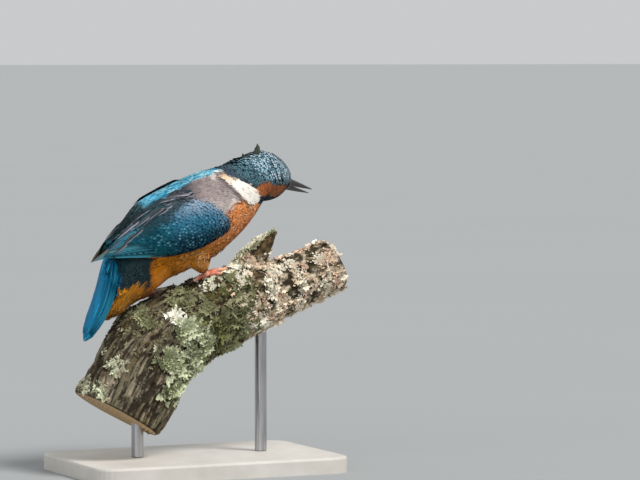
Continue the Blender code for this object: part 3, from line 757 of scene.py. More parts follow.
def wing_markings(place, across, p):
    """Colour of a folded wing, and how strongly its coverts are spotted."""
    fine, broad = layered(p, 1.4, 3, 41), layered(p, 6.0, 2, 43)
    wobble = layered(p, 3.0, 2, 47) - 0.5
    a, s = across + wobble * 0.15, place + wobble * 0.5
    low = np.interp(s, (1.0, 3.5), (-0.35, 0.05))
    colour = mix(COVERT, COVERT_NAVY, smoothstep(low, low - 0.7, a) * 0.9)
    shoulder = smoothstep(2.8, 1.2, s) * 0.8 + smoothstep(-0.1, 0.6, a) * smoothstep(4.6, 2.8, s) * 0.7
    shoulder = np.clip(shoulder, 0, 1) * smoothstep(-0.9, -0.1, a) * (0.55 + 0.6 * noise(p, 2.6, 45))
    shoulder_colour = mix(COVERT_SHOULDER, MANTLE, smoothstep(0.7, 1.0, a) * 0.6)
    colour = mix(colour, shoulder_colour, np.clip(shoulder, 0, 1))
    colour = mix(colour, TEAL, smoothstep(3.6, 4.6, s))
    # Scapulars lie over the upper part of the wing, down to this edge.
    edge = np.interp(s, (2.0, 2.3, 3.4, 4.2, 4.8), (1.3, 1.0, 0.62, 0.12, -0.05))
    covered = smoothstep(edge - 0.12, edge + 0.12, a) * smoothstep(5.6, 4.8, s)
    scapular = mix(SCAPULAR * 1.25, SCAPULAR_TEAL, smoothstep(3.0, 4.6, s))
    colour = mix(colour, scapular, covered * 0.9 * (0.75 + 0.5 * broad))
    colour = mix(colour, PRIMARY, smoothstep(7.0, 7.5, s))
    colour = colour * (0.85 + 0.3 * fine)[:, None] * (0.8 + 0.4 * broad)[:, None]
    spotted = smoothstep(5.2, 4.4, s) * smoothstep(-0.98, -0.6, a) * (1 - 0.5 * smoothstep(1.8, 0.6, s))
    spotted = spotted * (0.35 + 0.85 * smoothstep(0.3, 0.6, noise(p, 3.2, 49)))
    return colour, spotted * (1 - 0.35 * smoothstep(0.6, 1.0, a)) * (1 - covered)


# ---------------------------------------------------------------- vanes
def scatter(points, spacing):
    """Indices of points picked at random, none nearer to another than its spacing."""
    tree = tree_of(points)
    blocked, picked = np.zeros(len(points), bool), []
    for index in RNG.permutation(len(points)):
        if not blocked[index]:
            picked.append(index)
            for _, other, _ in tree.find_range(points[index], spacing[index]):
                blocked[other] = True
    return np.array(picked)


def follow(roots, lie, length, steps):
    """Lines over the skin along the lie of the coat: points, normals and directions (roots, steps, 3)."""
    points, normals, headings = [], [], []
    here = roots
    for step in range(steps):
        here, normal = on_skin(here)
        if points:
            normal = unit(normal * 0.6 + normals[-1] * 0.4)
        heading = lie(here)
        heading = unit(heading - normal * dot(heading, normal)[:, None])
        if headings:
            heading = unit(heading * 0.5 + headings[-1] * 0.5)
            heading = unit(heading - normal * dot(heading, normal)[:, None])
        points.append(here)
        normals.append(normal)
        headings.append(heading)
        here = here + heading * (length / (steps - 1))[:, None]
    return (np.array(found).transpose(1, 0, 2) for found in (points, normals, headings))


# Rows of points along a vane, as shares of its length, and the width of each as a share of its full width.
VANE_ROWS = np.array((0.0, 0.36, 0.62, 0.77, 0.86, 0.94, 1.0))
VANE_WIDTH = np.array((0.35, 0.86, 1.0, 0.93, 0.78, 0.56, 0.2))
SLIM_ROWS, SLIM_WIDTH = np.array((0.0, 0.2, 0.6, 0.86, 1.0)), np.array((0.6, 0.95, 1.0, 0.78, 0.15))
TUFT_PATCH = 0.003        # size of a vane's patch on the bake map
VANE_MAP = 4.0            # millimetres of a vane in one unit of its own map
VANE_MAP_SPREAD = 9.0     # how far apart the vanes lie on that map, so that their barbs differ


def tuft_patch(s, t):
    """A vane's own patch of the bake map, for rows s and columns t."""
    return pair(t[None, :] * (TUFT_PATCH / 2), (s[:, None] - 0.5) * TUFT_PATCH)


def one_group(verts, faces, paint, bake, vane):
    """Vanes ready to be joined into a piece, as flat lists."""
    return verts.reshape(-1, 3), faces, paint.reshape(-1, 3), bake.reshape(-1, 2), vane.reshape(-1, 2)


def vanes(roots, lie, length, width, lift, colour, bake, ragged, camber, root_shade, twist=0.12, pointed=0.12,
          rows=VANE_ROWS, widths=VANE_WIDTH, columns=5, swell=None, raised=None, edge=None, edge_colour=None,
          spot=None, spot_colour=None, spot_size=None):
    """Thin overlapping vanes over the skin. Every array has one entry for each root.

    A swell lifts whole vanes and raised lifts their tips. Camber bows a vane across, twist tilts it, pointed
    draws its sides back at the tip, and ragged makes the tip uneven. Root shade is painted shade: how bright
    a vane's root is painted, where the vanes over it would shadow it.
    """
    count, steps = len(roots), len(rows)
    spine, normal, heading = follow(roots, lie, length, 4)
    at = rows * 3.0
    low = np.minimum(at.astype(int), 2)
    share = (at - low)[None, :, None]
    spine, normal, heading = (v[:, low] * (1 - share) + v[:, low + 1] * share for v in (spine, normal, heading))
    side = unit(np.cross(normal, heading))
    lean = RNG.normal(0.0, twist, count)[:, None, None]
    t = np.linspace(-1, 1, columns)
    profile = np.broadcast_to(widths, (count, steps))
    height = lift[:, None] * (0.04 + 0.96 * (1 - (1 - rows[None, :]) ** 1.9))
    if swell is not None:
        height = height + swell[:, None] * smoothstep(0.0, 0.2, rows)[None, :]
    if raised is not None:
        height = height + raised[:, None] * rows[None, :] ** 2
    across = t[None, None, :] * profile[:, :, None] * width[:, None, None] / 2
    bow = -camber * (t[None, None, :] ** 2) * profile[:, :, None] * width[:, None, None] / 4
    # No row runs back over the one before it.
    back = np.clip((rows - 0.4) / 0.6, 0, 1)[:, None] * np.abs(t) * -pointed
    slip = np.repeat(back[None], count, axis=0)
    gap = rows[-1] - rows[-2]
    slip[:, -1] += np.clip(RNG.normal(0, 1, (count, columns)) * ragged * 0.35, -0.45 * gap, 0.2)
    slip[:, -2] += np.clip(RNG.normal(0, 1, (count, columns)) * ragged * 0.12, -0.2 * gap, 0.2 * gap)
    slip = slip * length[:, None, None]
    verts = (spine[:, :, None] + side[:, :, None] * across[..., None] + heading[:, :, None] * slip[..., None]
             + normal[:, :, None] * (height[:, :, None] + bow + across * lean)[..., None])
    # Painted shade: each vane is painted darker towards its root, where the vanes over it would shadow it.
    shade = root_shade + (1 - root_shade) * smoothstep(0.15, 0.75, rows)
    paint = colour[:, None, None] * shade[None, :, None, None] * np.ones((1, 1, columns, 1))
    if edge is not None:
        rim = np.maximum(np.abs(t)[None, :] ** 3, smoothstep(0.8, 1.0, rows)[:, None])
        rim = rim * smoothstep(0.3, 0.6, rows)[:, None]
        paint = mix(paint, np.broadcast_to(edge_colour, (count, 3))[:, None, None], edge[:, None, None] * rim)
    if spot is not None:
        mark = np.exp(-((rows - 0.86) / spot_size[0]) ** 2)[:, None] * np.exp(-(t / spot_size[1]) ** 2)[None, :]
        shown = np.clip(spot[:, None, None] * mark, 0, 1)
        paint = mix(paint, np.broadcast_to(spot_colour, (count, 3))[:, None, None], shown)
    uv = bake[:, None, None] + tuft_patch(rows, t)
    vane = pair(0.5 + 0.5 * t * width[:, None, None] / VANE_MAP,
                rows[:, None] * length[:, None, None] / VANE_MAP)
    vane = vane + RNG.random((count, 1, 1, 2)) * VANE_MAP_SPREAD
    return one_group(verts, many_grids(count, steps, columns), paint, uv, vane)


def coat_piece(name, groups, material, replaces=()):
    """One piece of the coat from groups of vanes."""
    verts, faces, colours, bake, vane = zip(*groups)
    starts = np.cumsum([0] + [len(v) for v in verts[:-1]])
    faces = [f + start for f, start in zip(faces, starts)]
    item = make_object(name, *(np.vstack(values) for values in (verts, faces, colours, bake, vane)))
    return finish_piece(item, material, replaces)


# ---------------------------------------------------------------- coat of the trunk, neck, head and thighs
def thigh_distance(p, side):
    """Distance from a thigh's surface, negative inside it."""
    mid = table_at(THIGHS[side], np.linspace(0, len(THIGHS[side]) - 1, 40))
    gap = np.linalg.norm(p[:, None] - mid[None, :, :3], axis=-1) - mid[None, :, 3]
    return gap.min(1)


def on_tail(p):
    """Which points lie on the root of the tail, where the tail's own coverts grow."""
    along, across, normal = tail_axes()
    offset = p - TAIL_ROOT
    share = dot(offset, along) / np.linalg.norm(TAIL_TIP - TAIL_ROOT)
    near = (np.abs(dot(offset, normal)) < 4.2) & (np.abs(dot(offset, across)) < 8.5)
    return near & (share > 0.12) & (share < 0.52)


def face_samples(each):
    """Points spread over the skin, several on each of its faces."""
    corners = skin_co[skin_faces]
    u, v = RNG.random((2, len(corners), each, 1))
    point = ((corners[:, None, 0] * (1 - u) + corners[:, None, 1] * u) * (1 - v)
             + (corners[:, None, 3] * (1 - u) + corners[:, None, 2] * u) * v)
    return point.reshape(-1, 3)


samples = face_samples(4)
sample_wing = {side: wing_place(samples, side) for side in SIDES}
near_wing = np.minimum(sample_wing["right"][2], sample_wing["left"][2]) < 1.1
roots = samples[~near_wing & ~on_tail(samples)]
at = Where(roots)
_, marks = markings(at)

PATCH_LIE = unit(np.array((-18.5, 4.1, 11.7)))     # lie of the white neck patch on the right side


def body_lie(p):
    """Direction in which the coat lies: from the bill back to the tail, and down the thighs."""
    here = Where(p)
    way = -here.forward
    neck = smoothstep(6.3, 6.8, here.place) * smoothstep(8.2, 7.3, here.place) * smoothstep(20, 50, here.down)
    mirrored = PATCH_LIE * np.stack([np.ones(len(p)), -here.side, np.ones(len(p))], -1)
    way = mix(way, mirrored, neck * 0.85)
    for side, rows in THIGHS.items():
        near = smoothstep(1.2, -0.6, thigh_distance(p, side)) * smoothstep(110.0, 105.0, p[:, 2])
        way = mix(way, unit(np.array(rows[-1][:3]) - np.array(rows[0][:3])), near * 0.8)
    swirl = layered(p, 5.0, 2, 61)[:, None] - 0.5
    return unit(way + np.cross(way, (0.3, 0.5, 0.8)) * swirl * 0.5)


def blend(start, *zones):
    """One value for each root: the start value, changed in turn by each (share, value)."""
    made = np.full(len(roots), start)
    for share, value in zones:
        made = made * (1 - share) + value * share
    return made


# Spacing, length and lift of the vanes, each zone laid over the ones before it.
thigh_near = np.minimum(thigh_distance(roots, "right"), thigh_distance(roots, "left"))
on_thigh = smoothstep(1.0, 0.0, thigh_near) * smoothstep(111.0, 106.0, roots[:, 2])
head_share = smoothstep(7.2, 8.4, at.place)
face_share = smoothstep(-4.0, 15.0, at.ahead) * head_share
back_share = marks["back"] * (1 - marks["stripe"]) * smoothstep(6.6, 6.2, at.place)
scapular_share = back_share * smoothstep(5.4, 4.8, at.place)
zones = (back_share, scapular_share, marks["stripe"], marks["rump"], marks["flank"], on_thigh, marks["patch"],
         head_share, marks["crown"], face_share)
spacing = blend(0.66, *zip(zones, (0.85, 1.5, 0.6, 0.75, 0.8, 0.55, 0.55, 0.62, 0.98, 0.46)))
length = blend(5.6, *zip(zones, (6.5, 9.5, 8.5, 6.0, 7.5, 3.8, 5.5, 2.9, 3.2, 1.4)))
lift = np.interp(at.place, COAT_STATIONS, (0.9, 1.25, 1.25, 0.95, 0.6, 0.35))
lift = np.where(on_thigh > 0.5, 0.9, lift) * (1 - 0.35 * marks["rump"])

# Roots of the vanes: none at the bill's base, under the folded wings or on the eyes.
COAT_FRONT, EYE_BARE = 15.8, 3.0
chosen = scatter(roots, spacing)
chosen = chosen[at.ahead[chosen] < COAT_FRONT]
under_wing = (at.place < 3.6) & (np.abs(roots[:, 1]) > 8.0) & (roots[:, 2] > 107.5)
chosen = chosen[~under_wing[chosen]]
for centre in EYE_CENTRES.values():
    chosen = chosen[np.linalg.norm(roots[chosen] - centre, axis=1) > EYE_BARE]
roots, spacing, length, lift = roots[chosen], spacing[chosen], length[chosen], lift[chosen]
thigh_near = thigh_near[chosen]
root_place, root_ahead, root_up = at.place[chosen], at.ahead[chosen], at.up[chosen]
length = length * (0.85 + 0.3 * RNG.random(len(roots)))
lift = lift * (0.94 + 0.10 * RNG.random(len(roots)))

# A vane is seen by its tip, so it takes the markings of the place where its tip lies.
at = Where(roots + body_lie(roots) * (length * 0.8)[:, None])
tint, marks = markings(at)
crown_mask = (marks["crown"] > 0.5) & (root_place > 6.9)
patch_mask = (marks["patch"] > 0.5) & ~crown_mask
head_mask = (at.place > 7.1) & ~crown_mask & ~patch_mask
stripe_mask = (marks["stripe"] > 0.5) & ~crown_mask & ~patch_mask
rump_mask = ((marks["rump"] > 0.5) | (marks["flank"] > 0.5)) & ~stripe_mask & ~head_mask & ~crown_mask
back_mask = (marks["back"] > 0.5) & ~stripe_mask & ~rump_mask & ~crown_mask & ~patch_mask & ~head_mask
under_mask = ~(crown_mask | patch_mask | head_mask | stripe_mask | rump_mask | back_mask)

# Colours vary from vane to vane, and some are pale.
vary = np.full(len(roots), 0.06)
for mask, value in ((stripe_mask, 0.34), (rump_mask, 0.2), (back_mask, 0.14), (patch_mask, 0.02),
                    (crown_mask, 0.16)):
    vary[mask] = value
tint = tint * (1 + vary * (2 * RNG.random(len(tint)) - 1))[:, None]
pale = under_mask * (RNG.random(len(roots)) > 0.82) * smoothstep(3.0, 5.5, at.place) * 0.4
tint = mix(tint, BREAST_LIGHT, pale)
right_thigh = smoothstep(2.0, 0.3, thigh_distance(roots, "right"))
tint = mix(tint, CREAM, under_mask * (RNG.random(len(roots)) > 0.6) * right_thigh * 0.3)
pale = stripe_mask * (RNG.random(len(roots)) > 0.62) * smoothstep(3.4, 5.0, at.place) * 0.65
tint = mix(tint, CYAN_PALE, pale)

# Spots of the crown, brightest on its front.
spot_random = RNG.random(len(roots))
blotch = smoothstep(0.34, 0.52, noise(roots, 2.2, 67))
spot_tint = mix(mix(SPOT_TEAL, SPOT_AZURE, np.clip(marks["bright"] * 1.3, 0, 1)), SPOT_LILAC,
                (spot_random > 0.64) * np.clip(marks["bright"], 0, 1) * 0.8)
spot_strength = marks["spotted"] * (0.15 + 0.85 * np.maximum(blotch, spot_random > 0.55))
spot_strength = np.clip(spot_strength * (0.8 + 0.8 * marks["bright"]), 0, 1)

# Unruly tips, more of them on the nape.
unruly = np.where((RNG.random(len(roots)) > 0.96) & (root_ahead < 0), RNG.random(len(roots)) * 0.7, 0.0)
nape_ruff = smoothstep(7.5, 8.0, root_place) * smoothstep(9.2, 8.5, root_place) * smoothstep(75, 50, at.down)
unruly = unruly + nape_ruff * (0.1 + 0.8 * RNG.random(len(roots)) ** 3)

# Where the coat stands higher over the skin: forehead, vent and the far side of the back.
FOREHEAD_RISE, VENT_RISE, FAR_BACK_RISE = 1.3, 2.4, 1.4
FULLNESS = 0.5            # share of the coat's depth that is filled below the vanes
forehead = smoothstep(-16, -6, root_ahead) * smoothstep(15, 11, root_ahead) * smoothstep(1.0, 5.0, root_up)
vent = smoothstep(0.5, 5.0, thigh_near) * smoothstep(0.7, 1.5, root_place) * smoothstep(3.7, 2.9, root_place)
vent = vent * smoothstep(95, 130, Where(roots).down)
far_back = np.where(at.side > 0, 1.0, 0.0) * smoothstep(4.2, 4.6, root_place) * smoothstep(5.8, 5.4, root_place)
far_back = far_back * smoothstep(4, 12, at.down) * smoothstep(60, 40, at.down)
swell = forehead * FOREHEAD_RISE + vent * VENT_RISE + lift * FULLNESS
lift = lift * (1 - FULLNESS)
edge_back = np.where(smoothstep(5.4, 4.8, at.place) > 0.5, 0.05 + 0.3 * (RNG.random(len(roots)) > 0.74), 0.15)


def grow(mask, broad=1.8, slim=False, early=0.0, **options):
    """Vanes on the roots that a mask picks, as wide as a number of spacings. Early ones start further back."""
    options = {key: (value[mask] if isinstance(value, np.ndarray) and len(value) == len(roots) else value)
               for key, value in options.items()}
    if slim:
        options = {"rows": SLIM_ROWS, "widths": SLIM_WIDTH, "columns": 3, **options}
    starts = roots[mask] - body_lie(roots[mask]) * (length[mask] * early)[:, None]
    return vanes(starts, body_lie, length[mask] * (1 + early), spacing[mask] * broad, lift[mask], tint[mask],
                 Where(starts).unwrap(), **options)


feather_soft = plumage_material("plumage_soft", 0.75, 0.12, 9.0, 0.36, sheen=0.10)
feather_blue = plumage_material("plumage_glossy", 0.50, 0.22, 8.0, 0.30)
feather_flight = plumage_material("plumage_flight", 0.45, 0.24, 7.0, 0.30)
feather_white = plumage_material("plumage_white", 0.8, 0.1, 8.0, 0.10, sheen=0.1)

coat_piece("coat_head", [
    grow(crown_mask, spot=spot_strength, spot_colour=spot_tint, ragged=0.14, camber=0.2, root_shade=0.75,
         spot_size=(0.18, 0.9), raised=unruly, swell=swell),
    grow(head_mask, slim=True, ragged=0.2, root_shade=0.85, camber=0.15, pointed=0.2, twist=0.08, swell=swell),
], feather_blue)
coat_piece("coat_neck_patch", [
    grow(patch_mask, slim=True, ragged=0.1, root_shade=0.97, camber=0.1, twist=0.03, broad=2.8, early=0.35,
         swell=swell),
], feather_white)
coat_piece("coat_underparts", [
    grow(under_mask, broad=2.8, early=0.35, slim=True, ragged=0.14, root_shade=0.97, camber=0.1, twist=0.05,
         pointed=0.25, raised=unruly, swell=swell),
], feather_soft)
coat_piece("coat_back", [
    grow(back_mask, broad=2.0, ragged=0.12, root_shade=0.72, edge=edge_back, edge_colour=PALE_EDGE, camber=0.2,
         twist=0.07, swell=swell + far_back * FAR_BACK_RISE),
    grow(stripe_mask, broad=1.5, slim=True, ragged=0.25, root_shade=0.7, camber=0.2, pointed=0.4, twist=0.08,
         swell=swell),
    grow(rump_mask, broad=2.2, slim=True, ragged=0.15, root_shade=0.88, camber=0.1, pointed=0.3, twist=0.04,
         swell=swell),
], feather_blue)


# ---------------------------------------------------------------- single feathers that stand out of the coat
# Raised crown feathers: ahead, left and up of the root in the head, length, width, tilt along the head.
RAISED = ((-14.4, 3.4, 8.4, 6.7, 2.0, 0.0), (-13.9, 3.0, 8.7, 5.6, 1.6, 0.12),
          (-14.9, 3.8, 8.1, 4.8, 1.5, -0.2), (-20.6, 6.6, 5.2, 2.3, 1.3, -0.5),
          (-19.0, 5.4, 6.2, 2.1, 1.2, 0.2))
RAISED_DARK, RAISED_LIT_SIDE = srgb(0.25, 0.29, 0.27), srgb(0.48, 0.48, 0.40)


def raised_feathers():
    """Pointed feathers that stand up from the crown, dark, with a painted highlight on the side towards the key
    light.
    """
    groups = []
    rows, columns = 9, 5
    s, t = np.linspace(0, 1, rows), np.linspace(-1, 1, columns)
    for ahead, left, up, long, wide, tilt in RAISED:
        root = head_point(ahead, left, up)
        rise = unit(np.array((0.05, -0.05, 1.0)) + HEAD_FORWARD * tilt * 0.6)
        side = unit(np.cross(rise, (-0.42, -0.91, 0.0)))
        bend = np.cross(rise, side)
        profile = np.sin(np.pi * (0.16 + 0.84 * s)) ** 0.7
        verts = (root + rise * (long * s)[:, None, None] + side * (wide / 2 * profile[:, None] * t)[..., None]
                 + bend * ((0.5 * s ** 2)[:, None] * long * 0.3 - 0.2 * t ** 2)[..., None])
        # Painted highlight: the side towards the key light is painted paler.
        pale = smoothstep(0.2, 0.9, t)[None, :] * smoothstep(0.1, 0.6, s)[:, None] * 0.7
        paint = mix(RAISED_DARK, RAISED_LIT_SIDE, pale)
        uv = Where(root[None]).unwrap()[0] + tuft_patch(s, t)
        vane = pair(0.5 + 0.5 * t * wide / VANE_MAP, s[:, None] * long / VANE_MAP)
        groups.append(one_group(verts, grid_faces(rows, columns), paint, uv, vane))
    return groups


coat_piece("coat_raised_crown", raised_feathers(), feather_blue)

# Long feathers that lie loose on the shoulders, in a band from the mantle to the tip of the wing: the ends of
# its upper and lower edge, and for each feather how far along the band, how far down it, length, width,
# paleness of its edge and rise over the coat.
LAID_BAND = (((-8.0, -9.4, 140.8), (-43.0, -5.2, 119.4)), ((1.0, -12.8, 142.8), (-38.0, -12.0, 116.5)))
LAID = ((0.02, 0.55, 11.0, 2.6, 0.7, 0.5), (0.12, 0.75, 9.5, 2.2, 1.0, 0.9), (0.22, 0.5, 11.5, 2.6, 0.7, 0.6),
        (0.2, 0.2, 15.0, 2.2, 0.8, 0.3), (0.42, 0.35, 15.5, 2.4, 0.9, 0.3), (0.72, 0.45, 16.0, 2.4, 1.0, 0.5),
        (0.55, 0.7, 15.0, 2.2, 0.5, 0.3))
LAID_MORE = 64            # others, drawn at random


def laid_feathers():
    """Each one follows the coat beneath it, from a root held down in the coat to a tip that lies free."""
    groups = []
    rows, columns = 14, 7
    s, t = np.linspace(0, 1, rows), np.linspace(-1, 1, columns)
    (upper_start, upper_end), (lower_start, lower_end) = np.array(LAID_BAND)
    drawn = [(u, v, 9.0 + 6.0 * a, 1.3 + 0.8 * b, c * (c > 0.45), 0.1)
             for u, v, a, b, c in RNG.random((LAID_MORE, 5))]
    for far_along, far_down, long, wide, pale_edge, rise in sorted(drawn) + list(LAID):
        upper = upper_start + (upper_end - upper_start) * far_along
        lower = lower_start + (lower_end - lower_start) * far_along
        start = upper + (lower - upper) * far_down
        way = unit(mix(upper_end - upper_start, lower_end - lower_start, far_down))
        tone, teal, streaks = RNG.random(), RNG.random(), 0.8 + 0.4 * RNG.random((1, columns, 1))
        base = mix(SCAPULAR, SCAPULAR_TEAL, teal) * (0.7 + 0.7 * tone)
        base = mix(base, MANTLE * 0.8, (0.45 * smoothstep(-14.0, 0.0, start[0]) + 0.1) * (tone > 0.5))
        rim = smoothstep(0.35, 0.95, t)[None, :] * smoothstep(0.15, 0.4, s)[:, None] * pale_edge
        paint = mix(base * streaks * np.ones((rows, 1, 1)), PALE_EDGE, rim)
        height = -0.2 + (1.5 + rise) * smoothstep(0.0, 0.45, s) + 0.25 * s * rise
        shape = np.clip(0.45 + 1.6 * s, 0, 1) * np.sqrt(np.clip(1 - smoothstep(0.45, 1.02, s), 0, 1)) + 0.05
        for mirror in (1.0, -1.0):
            ground, normal = on_skin((start + way * long * s[:, None]) * np.array((1.0, mirror, 1.0)))
            normal = unit(normal + normal.mean(0))
            side = unit(np.cross(normal, unit(np.gradient(ground, axis=0)))) * mirror
            verts = (ground[:, None] + side[:, None] * (wide / 2 * shape[:, None] * t)[..., None]
                     + normal[:, None] * (height[:, None] - 0.35 * (t ** 2) * wide / 3)[..., None])
            uv = Where(ground[:1]).unwrap()[0] + tuft_patch(s, t)
            vane = pair(0.5 + 0.5 * t, s[:, None] * 3) + RNG.random(2) * VANE_MAP_SPREAD
            groups.append(one_group(verts, grid_faces(rows, columns), paint, uv, vane))
    return groups


coat_piece("coat_scapulars", laid_feathers(), feather_flight)


# ---------------------------------------------------------------- skin
def build_skin():
    """The bird's skin, painted as its coat is with painted shade over it, and a hollow round each eye."""
    where = Where(skin_co)
    tint, _ = markings(where)
    for side in SIDES:
        place, across, distance = wing_place(skin_co, side)
        wing_tint, _ = wing_markings(place, across, skin_co)
        tint = mix(tint, wing_tint, smoothstep(1.4, 0.9, distance))
    # The skin on the tail's root is painted at 0.6 of the tail's blue: painted shade under its coverts.
    tint = mix(tint, TAIL_BLUE * 0.6, on_tail(skin_co))
    # Painted shade: the grain darkens the skin to between 0.6 and 0.95 of the markings, under the coat.
    down = grained("skin_under_feathers", 0.8, 0.15, grain=(900.0, 3.0), stops=((0.2, 0.6), (0.8, 0.95)),
                   relief=(0.5, 0.0003))
    co = skin_co.copy()
    for centre in EYE_CENTRES.values():
        offset = co - centre
        outward = unit(centre - head_point(EYE_PLACE[0], 0, EYE_PLACE[2]))
        outside = (np.linalg.norm(offset, axis=1) < EYE_RADIUS + 0.3) & (dot(offset, outward) > 0)
        co[outside] = centre + unit(offset[outside]) * (EYE_RADIUS - 0.5)
    skin = make_object("skin", co, skin_faces, tint, where.unwrap())
    finish_piece(skin, down, ("trunk", "neck", "head", "thigh_left", "thigh_right"))


build_skin()


# ---------------------------------------------------------------- wings
LONG_VANE_THICKNESS = 0.12


def long_vanes(surface, feathers, rows=16, columns=7, end_tint=None):
    """Long feathers as thin closed vanes on a surface.

    Each is (start, end, half width, height at root and tip, colour, edge colour, place on the bake map).
    """
    s, t = np.linspace(0, 1, rows), np.linspace(-1, 1, columns)
    shape = np.clip(0.55 + 1.6 * s, 0, 1) * np.sqrt(np.clip(1 - smoothstep(0.72, 1.0, s) * 0.985, 0, 1))
    # Painted shade: each feather is painted darker towards its root.
    shade = 0.75 + 0.25 * smoothstep(0.1, 0.6, s)
    rimmed = (smoothstep(0.45, 1.0, -t) * 0.85)[None, :] * smoothstep(0.15, 0.5, s)[:, None]
    count = rows * columns
    edge = np.concatenate([np.arange(columns), np.arange(2, rows + 1) * columns - 1,
                           np.arange(count - 2, count - columns - 1, -1), np.arange(rows - 2, 0, -1) * columns])
    after = np.roll(edge, -1)
    top_faces = grid_faces(rows, columns)
    wall = np.stack([edge, edge + count, after + count, after], -1)
    faces = np.vstack([top_faces, top_faces[:, ::-1] + count, wall])
    groups = []
    for start, end, wide, height, colour, rim, bake in feathers:
        place = (start[0] + (end[0] - start[0]) * s)[:, None] * np.ones(columns)
        across = (start[1] + (end[1] - start[1]) * s ** 0.9)[:, None] + wide * shape[:, None] * t
        rise = (height[0] + (height[1] - height[0]) * s)[:, None] - 0.10 * t ** 2
        top, under = surface(place, across, rise), surface(place, across, rise - LONG_VANE_THICKNESS)
        barbs = (0.84 + 0.32 * RNG.random(columns)) * (1 - 0.12 * np.exp(-(t / 0.12) ** 2))
        paint = colour * shade[:, None, None] * barbs[:, None]
        if end_tint is not None:
            paint = mix(paint, end_tint, smoothstep(0.62, 0.85, s)[:, None] * np.ones(columns))
        paint = mix(paint, rim, rimmed)
        real = np.linalg.norm(np.diff(top[:, columns // 2], axis=0), axis=1).sum()
        vane = pair(0.5 + 0.5 * t, s[:, None] * real / VANE_MAP) + RNG.random(2) * VANE_MAP_SPREAD
        uv = bake + tuft_patch(s, t)
        # The under face is painted at 0.45 of the top's colour: painted shade.
        groups.append(one_group(np.stack([top, under]), faces, np.stack([paint, paint * 0.45]),
                                np.stack([uv, uv]), np.stack([vane, vane])))
    return groups


PRIMARIES, SECONDARIES, TERTIALS = 7, 11, 5
WING_STATION = 12.0       # millimetres of wing from one station to the next


def wing_bake(side, place, across):
    """Place on the bake map: the right wing's half of it, or the left one's."""
    mirror = 1.0 if side == "right" else -1.0
    return pair(0.5 + mirror * (0.1 + 0.16 * (across + 1.0)), 0.05 + 0.11 * place)


def wing_feathers(side):
    """Flight feathers of a folded wing, longest underneath: primaries, secondaries and tertials."""
    feathers = []
    for index in range(PRIMARIES):
        share = index / (PRIMARIES - 1)
        start, end = (4.2, -0.72 + 0.35 * share), (8.0 - 1.1 * share, -0.15 + 0.2 * share)
        height = (-1.1 + 0.16 * index, -0.3 + 0.10 * index)
        tint = mix(TEAL, PRIMARY, 0.12) * (0.9 + 0.2 * RNG.random())
        bake = wing_bake(side, 4.2, -0.9 + 0.1 * index)
        feathers.append((start, end, 0.30, height, tint, TEAL_EDGE * 0.8, bake))
    for index in range(SECONDARIES):
        share = index / (SECONDARIES - 1)
        start, end = (3.7, -0.86 + 1.45 * share), (6.9 - 1.0 * abs(share - 0.15), -0.62 + 1.15 * share)
        height = (-0.75 + 0.05 * index, 0.05 + 0.05 * index)
        tint = mix(TEAL, COVERT, share * 0.4) * (0.8 + 0.35 * RNG.random())
        rim = mix(TEAL_EDGE, CYAN_PALE, 0.25 * (RNG.random() > 0.6)) * (1 - 0.35 * share)
        feathers.append((start, end, 0.22, height, tint, rim, wing_bake(side, 3.0, -0.9 + 0.17 * index)))
    for index in range(TERTIALS):
        share = index / (TERTIALS - 1)
        start, end = (3.7, 0.45 + 0.5 * share), (6.1 - 0.7 * share, 0.42 + 0.5 * share)
        height = (-0.5 + 0.05 * index, 0.45 + 0.05 * index)
        tint = mix(SCAPULAR_TEAL, SCAPULAR, share) * (0.85 + 0.3 * RNG.random())
        rim = mix(TEAL_EDGE, PALE_EDGE, share * 0.6) * 0.8
        feathers.append((start, end, 0.26, height, tint, rim, wing_bake(side, 2.8, 0.5 + 0.1 * index)))
    return feathers


def wing_coverts(side):
    """Rows of small spotted vanes over the front of a wing."""
    place, across, distance = sample_wing[side]
    keep = (distance < 0.9) & (place < 4.9 + 0.8 * across)
    outer, place, across = samples[keep], place[keep], across[keep]
    step = np.interp(place, (0, 1.0, 2.5, 3.5, 4.5, 5.3), (0.7, 0.95, 1.2, 1.35, 1.7, 2.1))
    pick = scatter(outer, step)
    outer, place, across, step = outer[pick], place[pick], across[pick], step[pick]
    long = step * np.interp(place, (0, 2.5, 4.5), (2.8, 3.4, 4.0))
    tint, spotted = wing_markings(place + long * 0.8 / WING_STATION, across, outer)
    rim = smoothstep(0.95, 0.5, place) * smoothstep(-0.7, -0.2, across)
    low_rim = smoothstep(-0.92, -0.98, across) * smoothstep(3.8, 2.4, place)
    tint = mix(tint * (0.9 + 0.2 * RNG.random((len(pick), 1))), MANTLE_LIGHT, rim * 0.8)
    tint = mix(tint, BREAST * 0.9, low_rim * 0.9)
    spotted = spotted * (1 - np.maximum(rim, low_rim))
    ahead, behind = np.maximum(GRID_PLACE - 0.08, 0), np.minimum(GRID_PLACE + 0.08, WING_END)
    flow = (wing_point(behind, GRID_ACROSS * 0.985, -WING_COAT, side)
            - wing_point(ahead, GRID_ACROSS, -WING_COAT, side))

    def lie(p):
        return unit(np.array([flow[WING_TREE[side].find(point)[1]] for point in p]))

    chance = RNG.random(len(pick))
    spot_colour = mix(COVERT_SPOT, SPOT_LILAC, smoothstep(2.8, 0.8, place) * 0.4 + 0.2 * (chance > 0.9))
    edge_colour = mix(tint * 1.7, MANTLE_LIGHT, 0.35 * smoothstep(2.6, 0.8, place))
    return vanes(outer, lie, long, step * 1.75, 1.25 * (0.95 + 0.08 * RNG.random(len(pick))), tint,
                 wing_bake(side, place, across), ragged=0.1, camber=0.18, root_shade=0.74, twist=0.06,
                 columns=7, edge=0.06 + 0.24 * smoothstep(2.4, 1.0, place), edge_colour=edge_colour,
                 spot=np.clip(spotted * (1.7 * chance - 0.55), 0, 0.9), spot_colour=spot_colour,
                 spot_size=(0.10, 0.36))


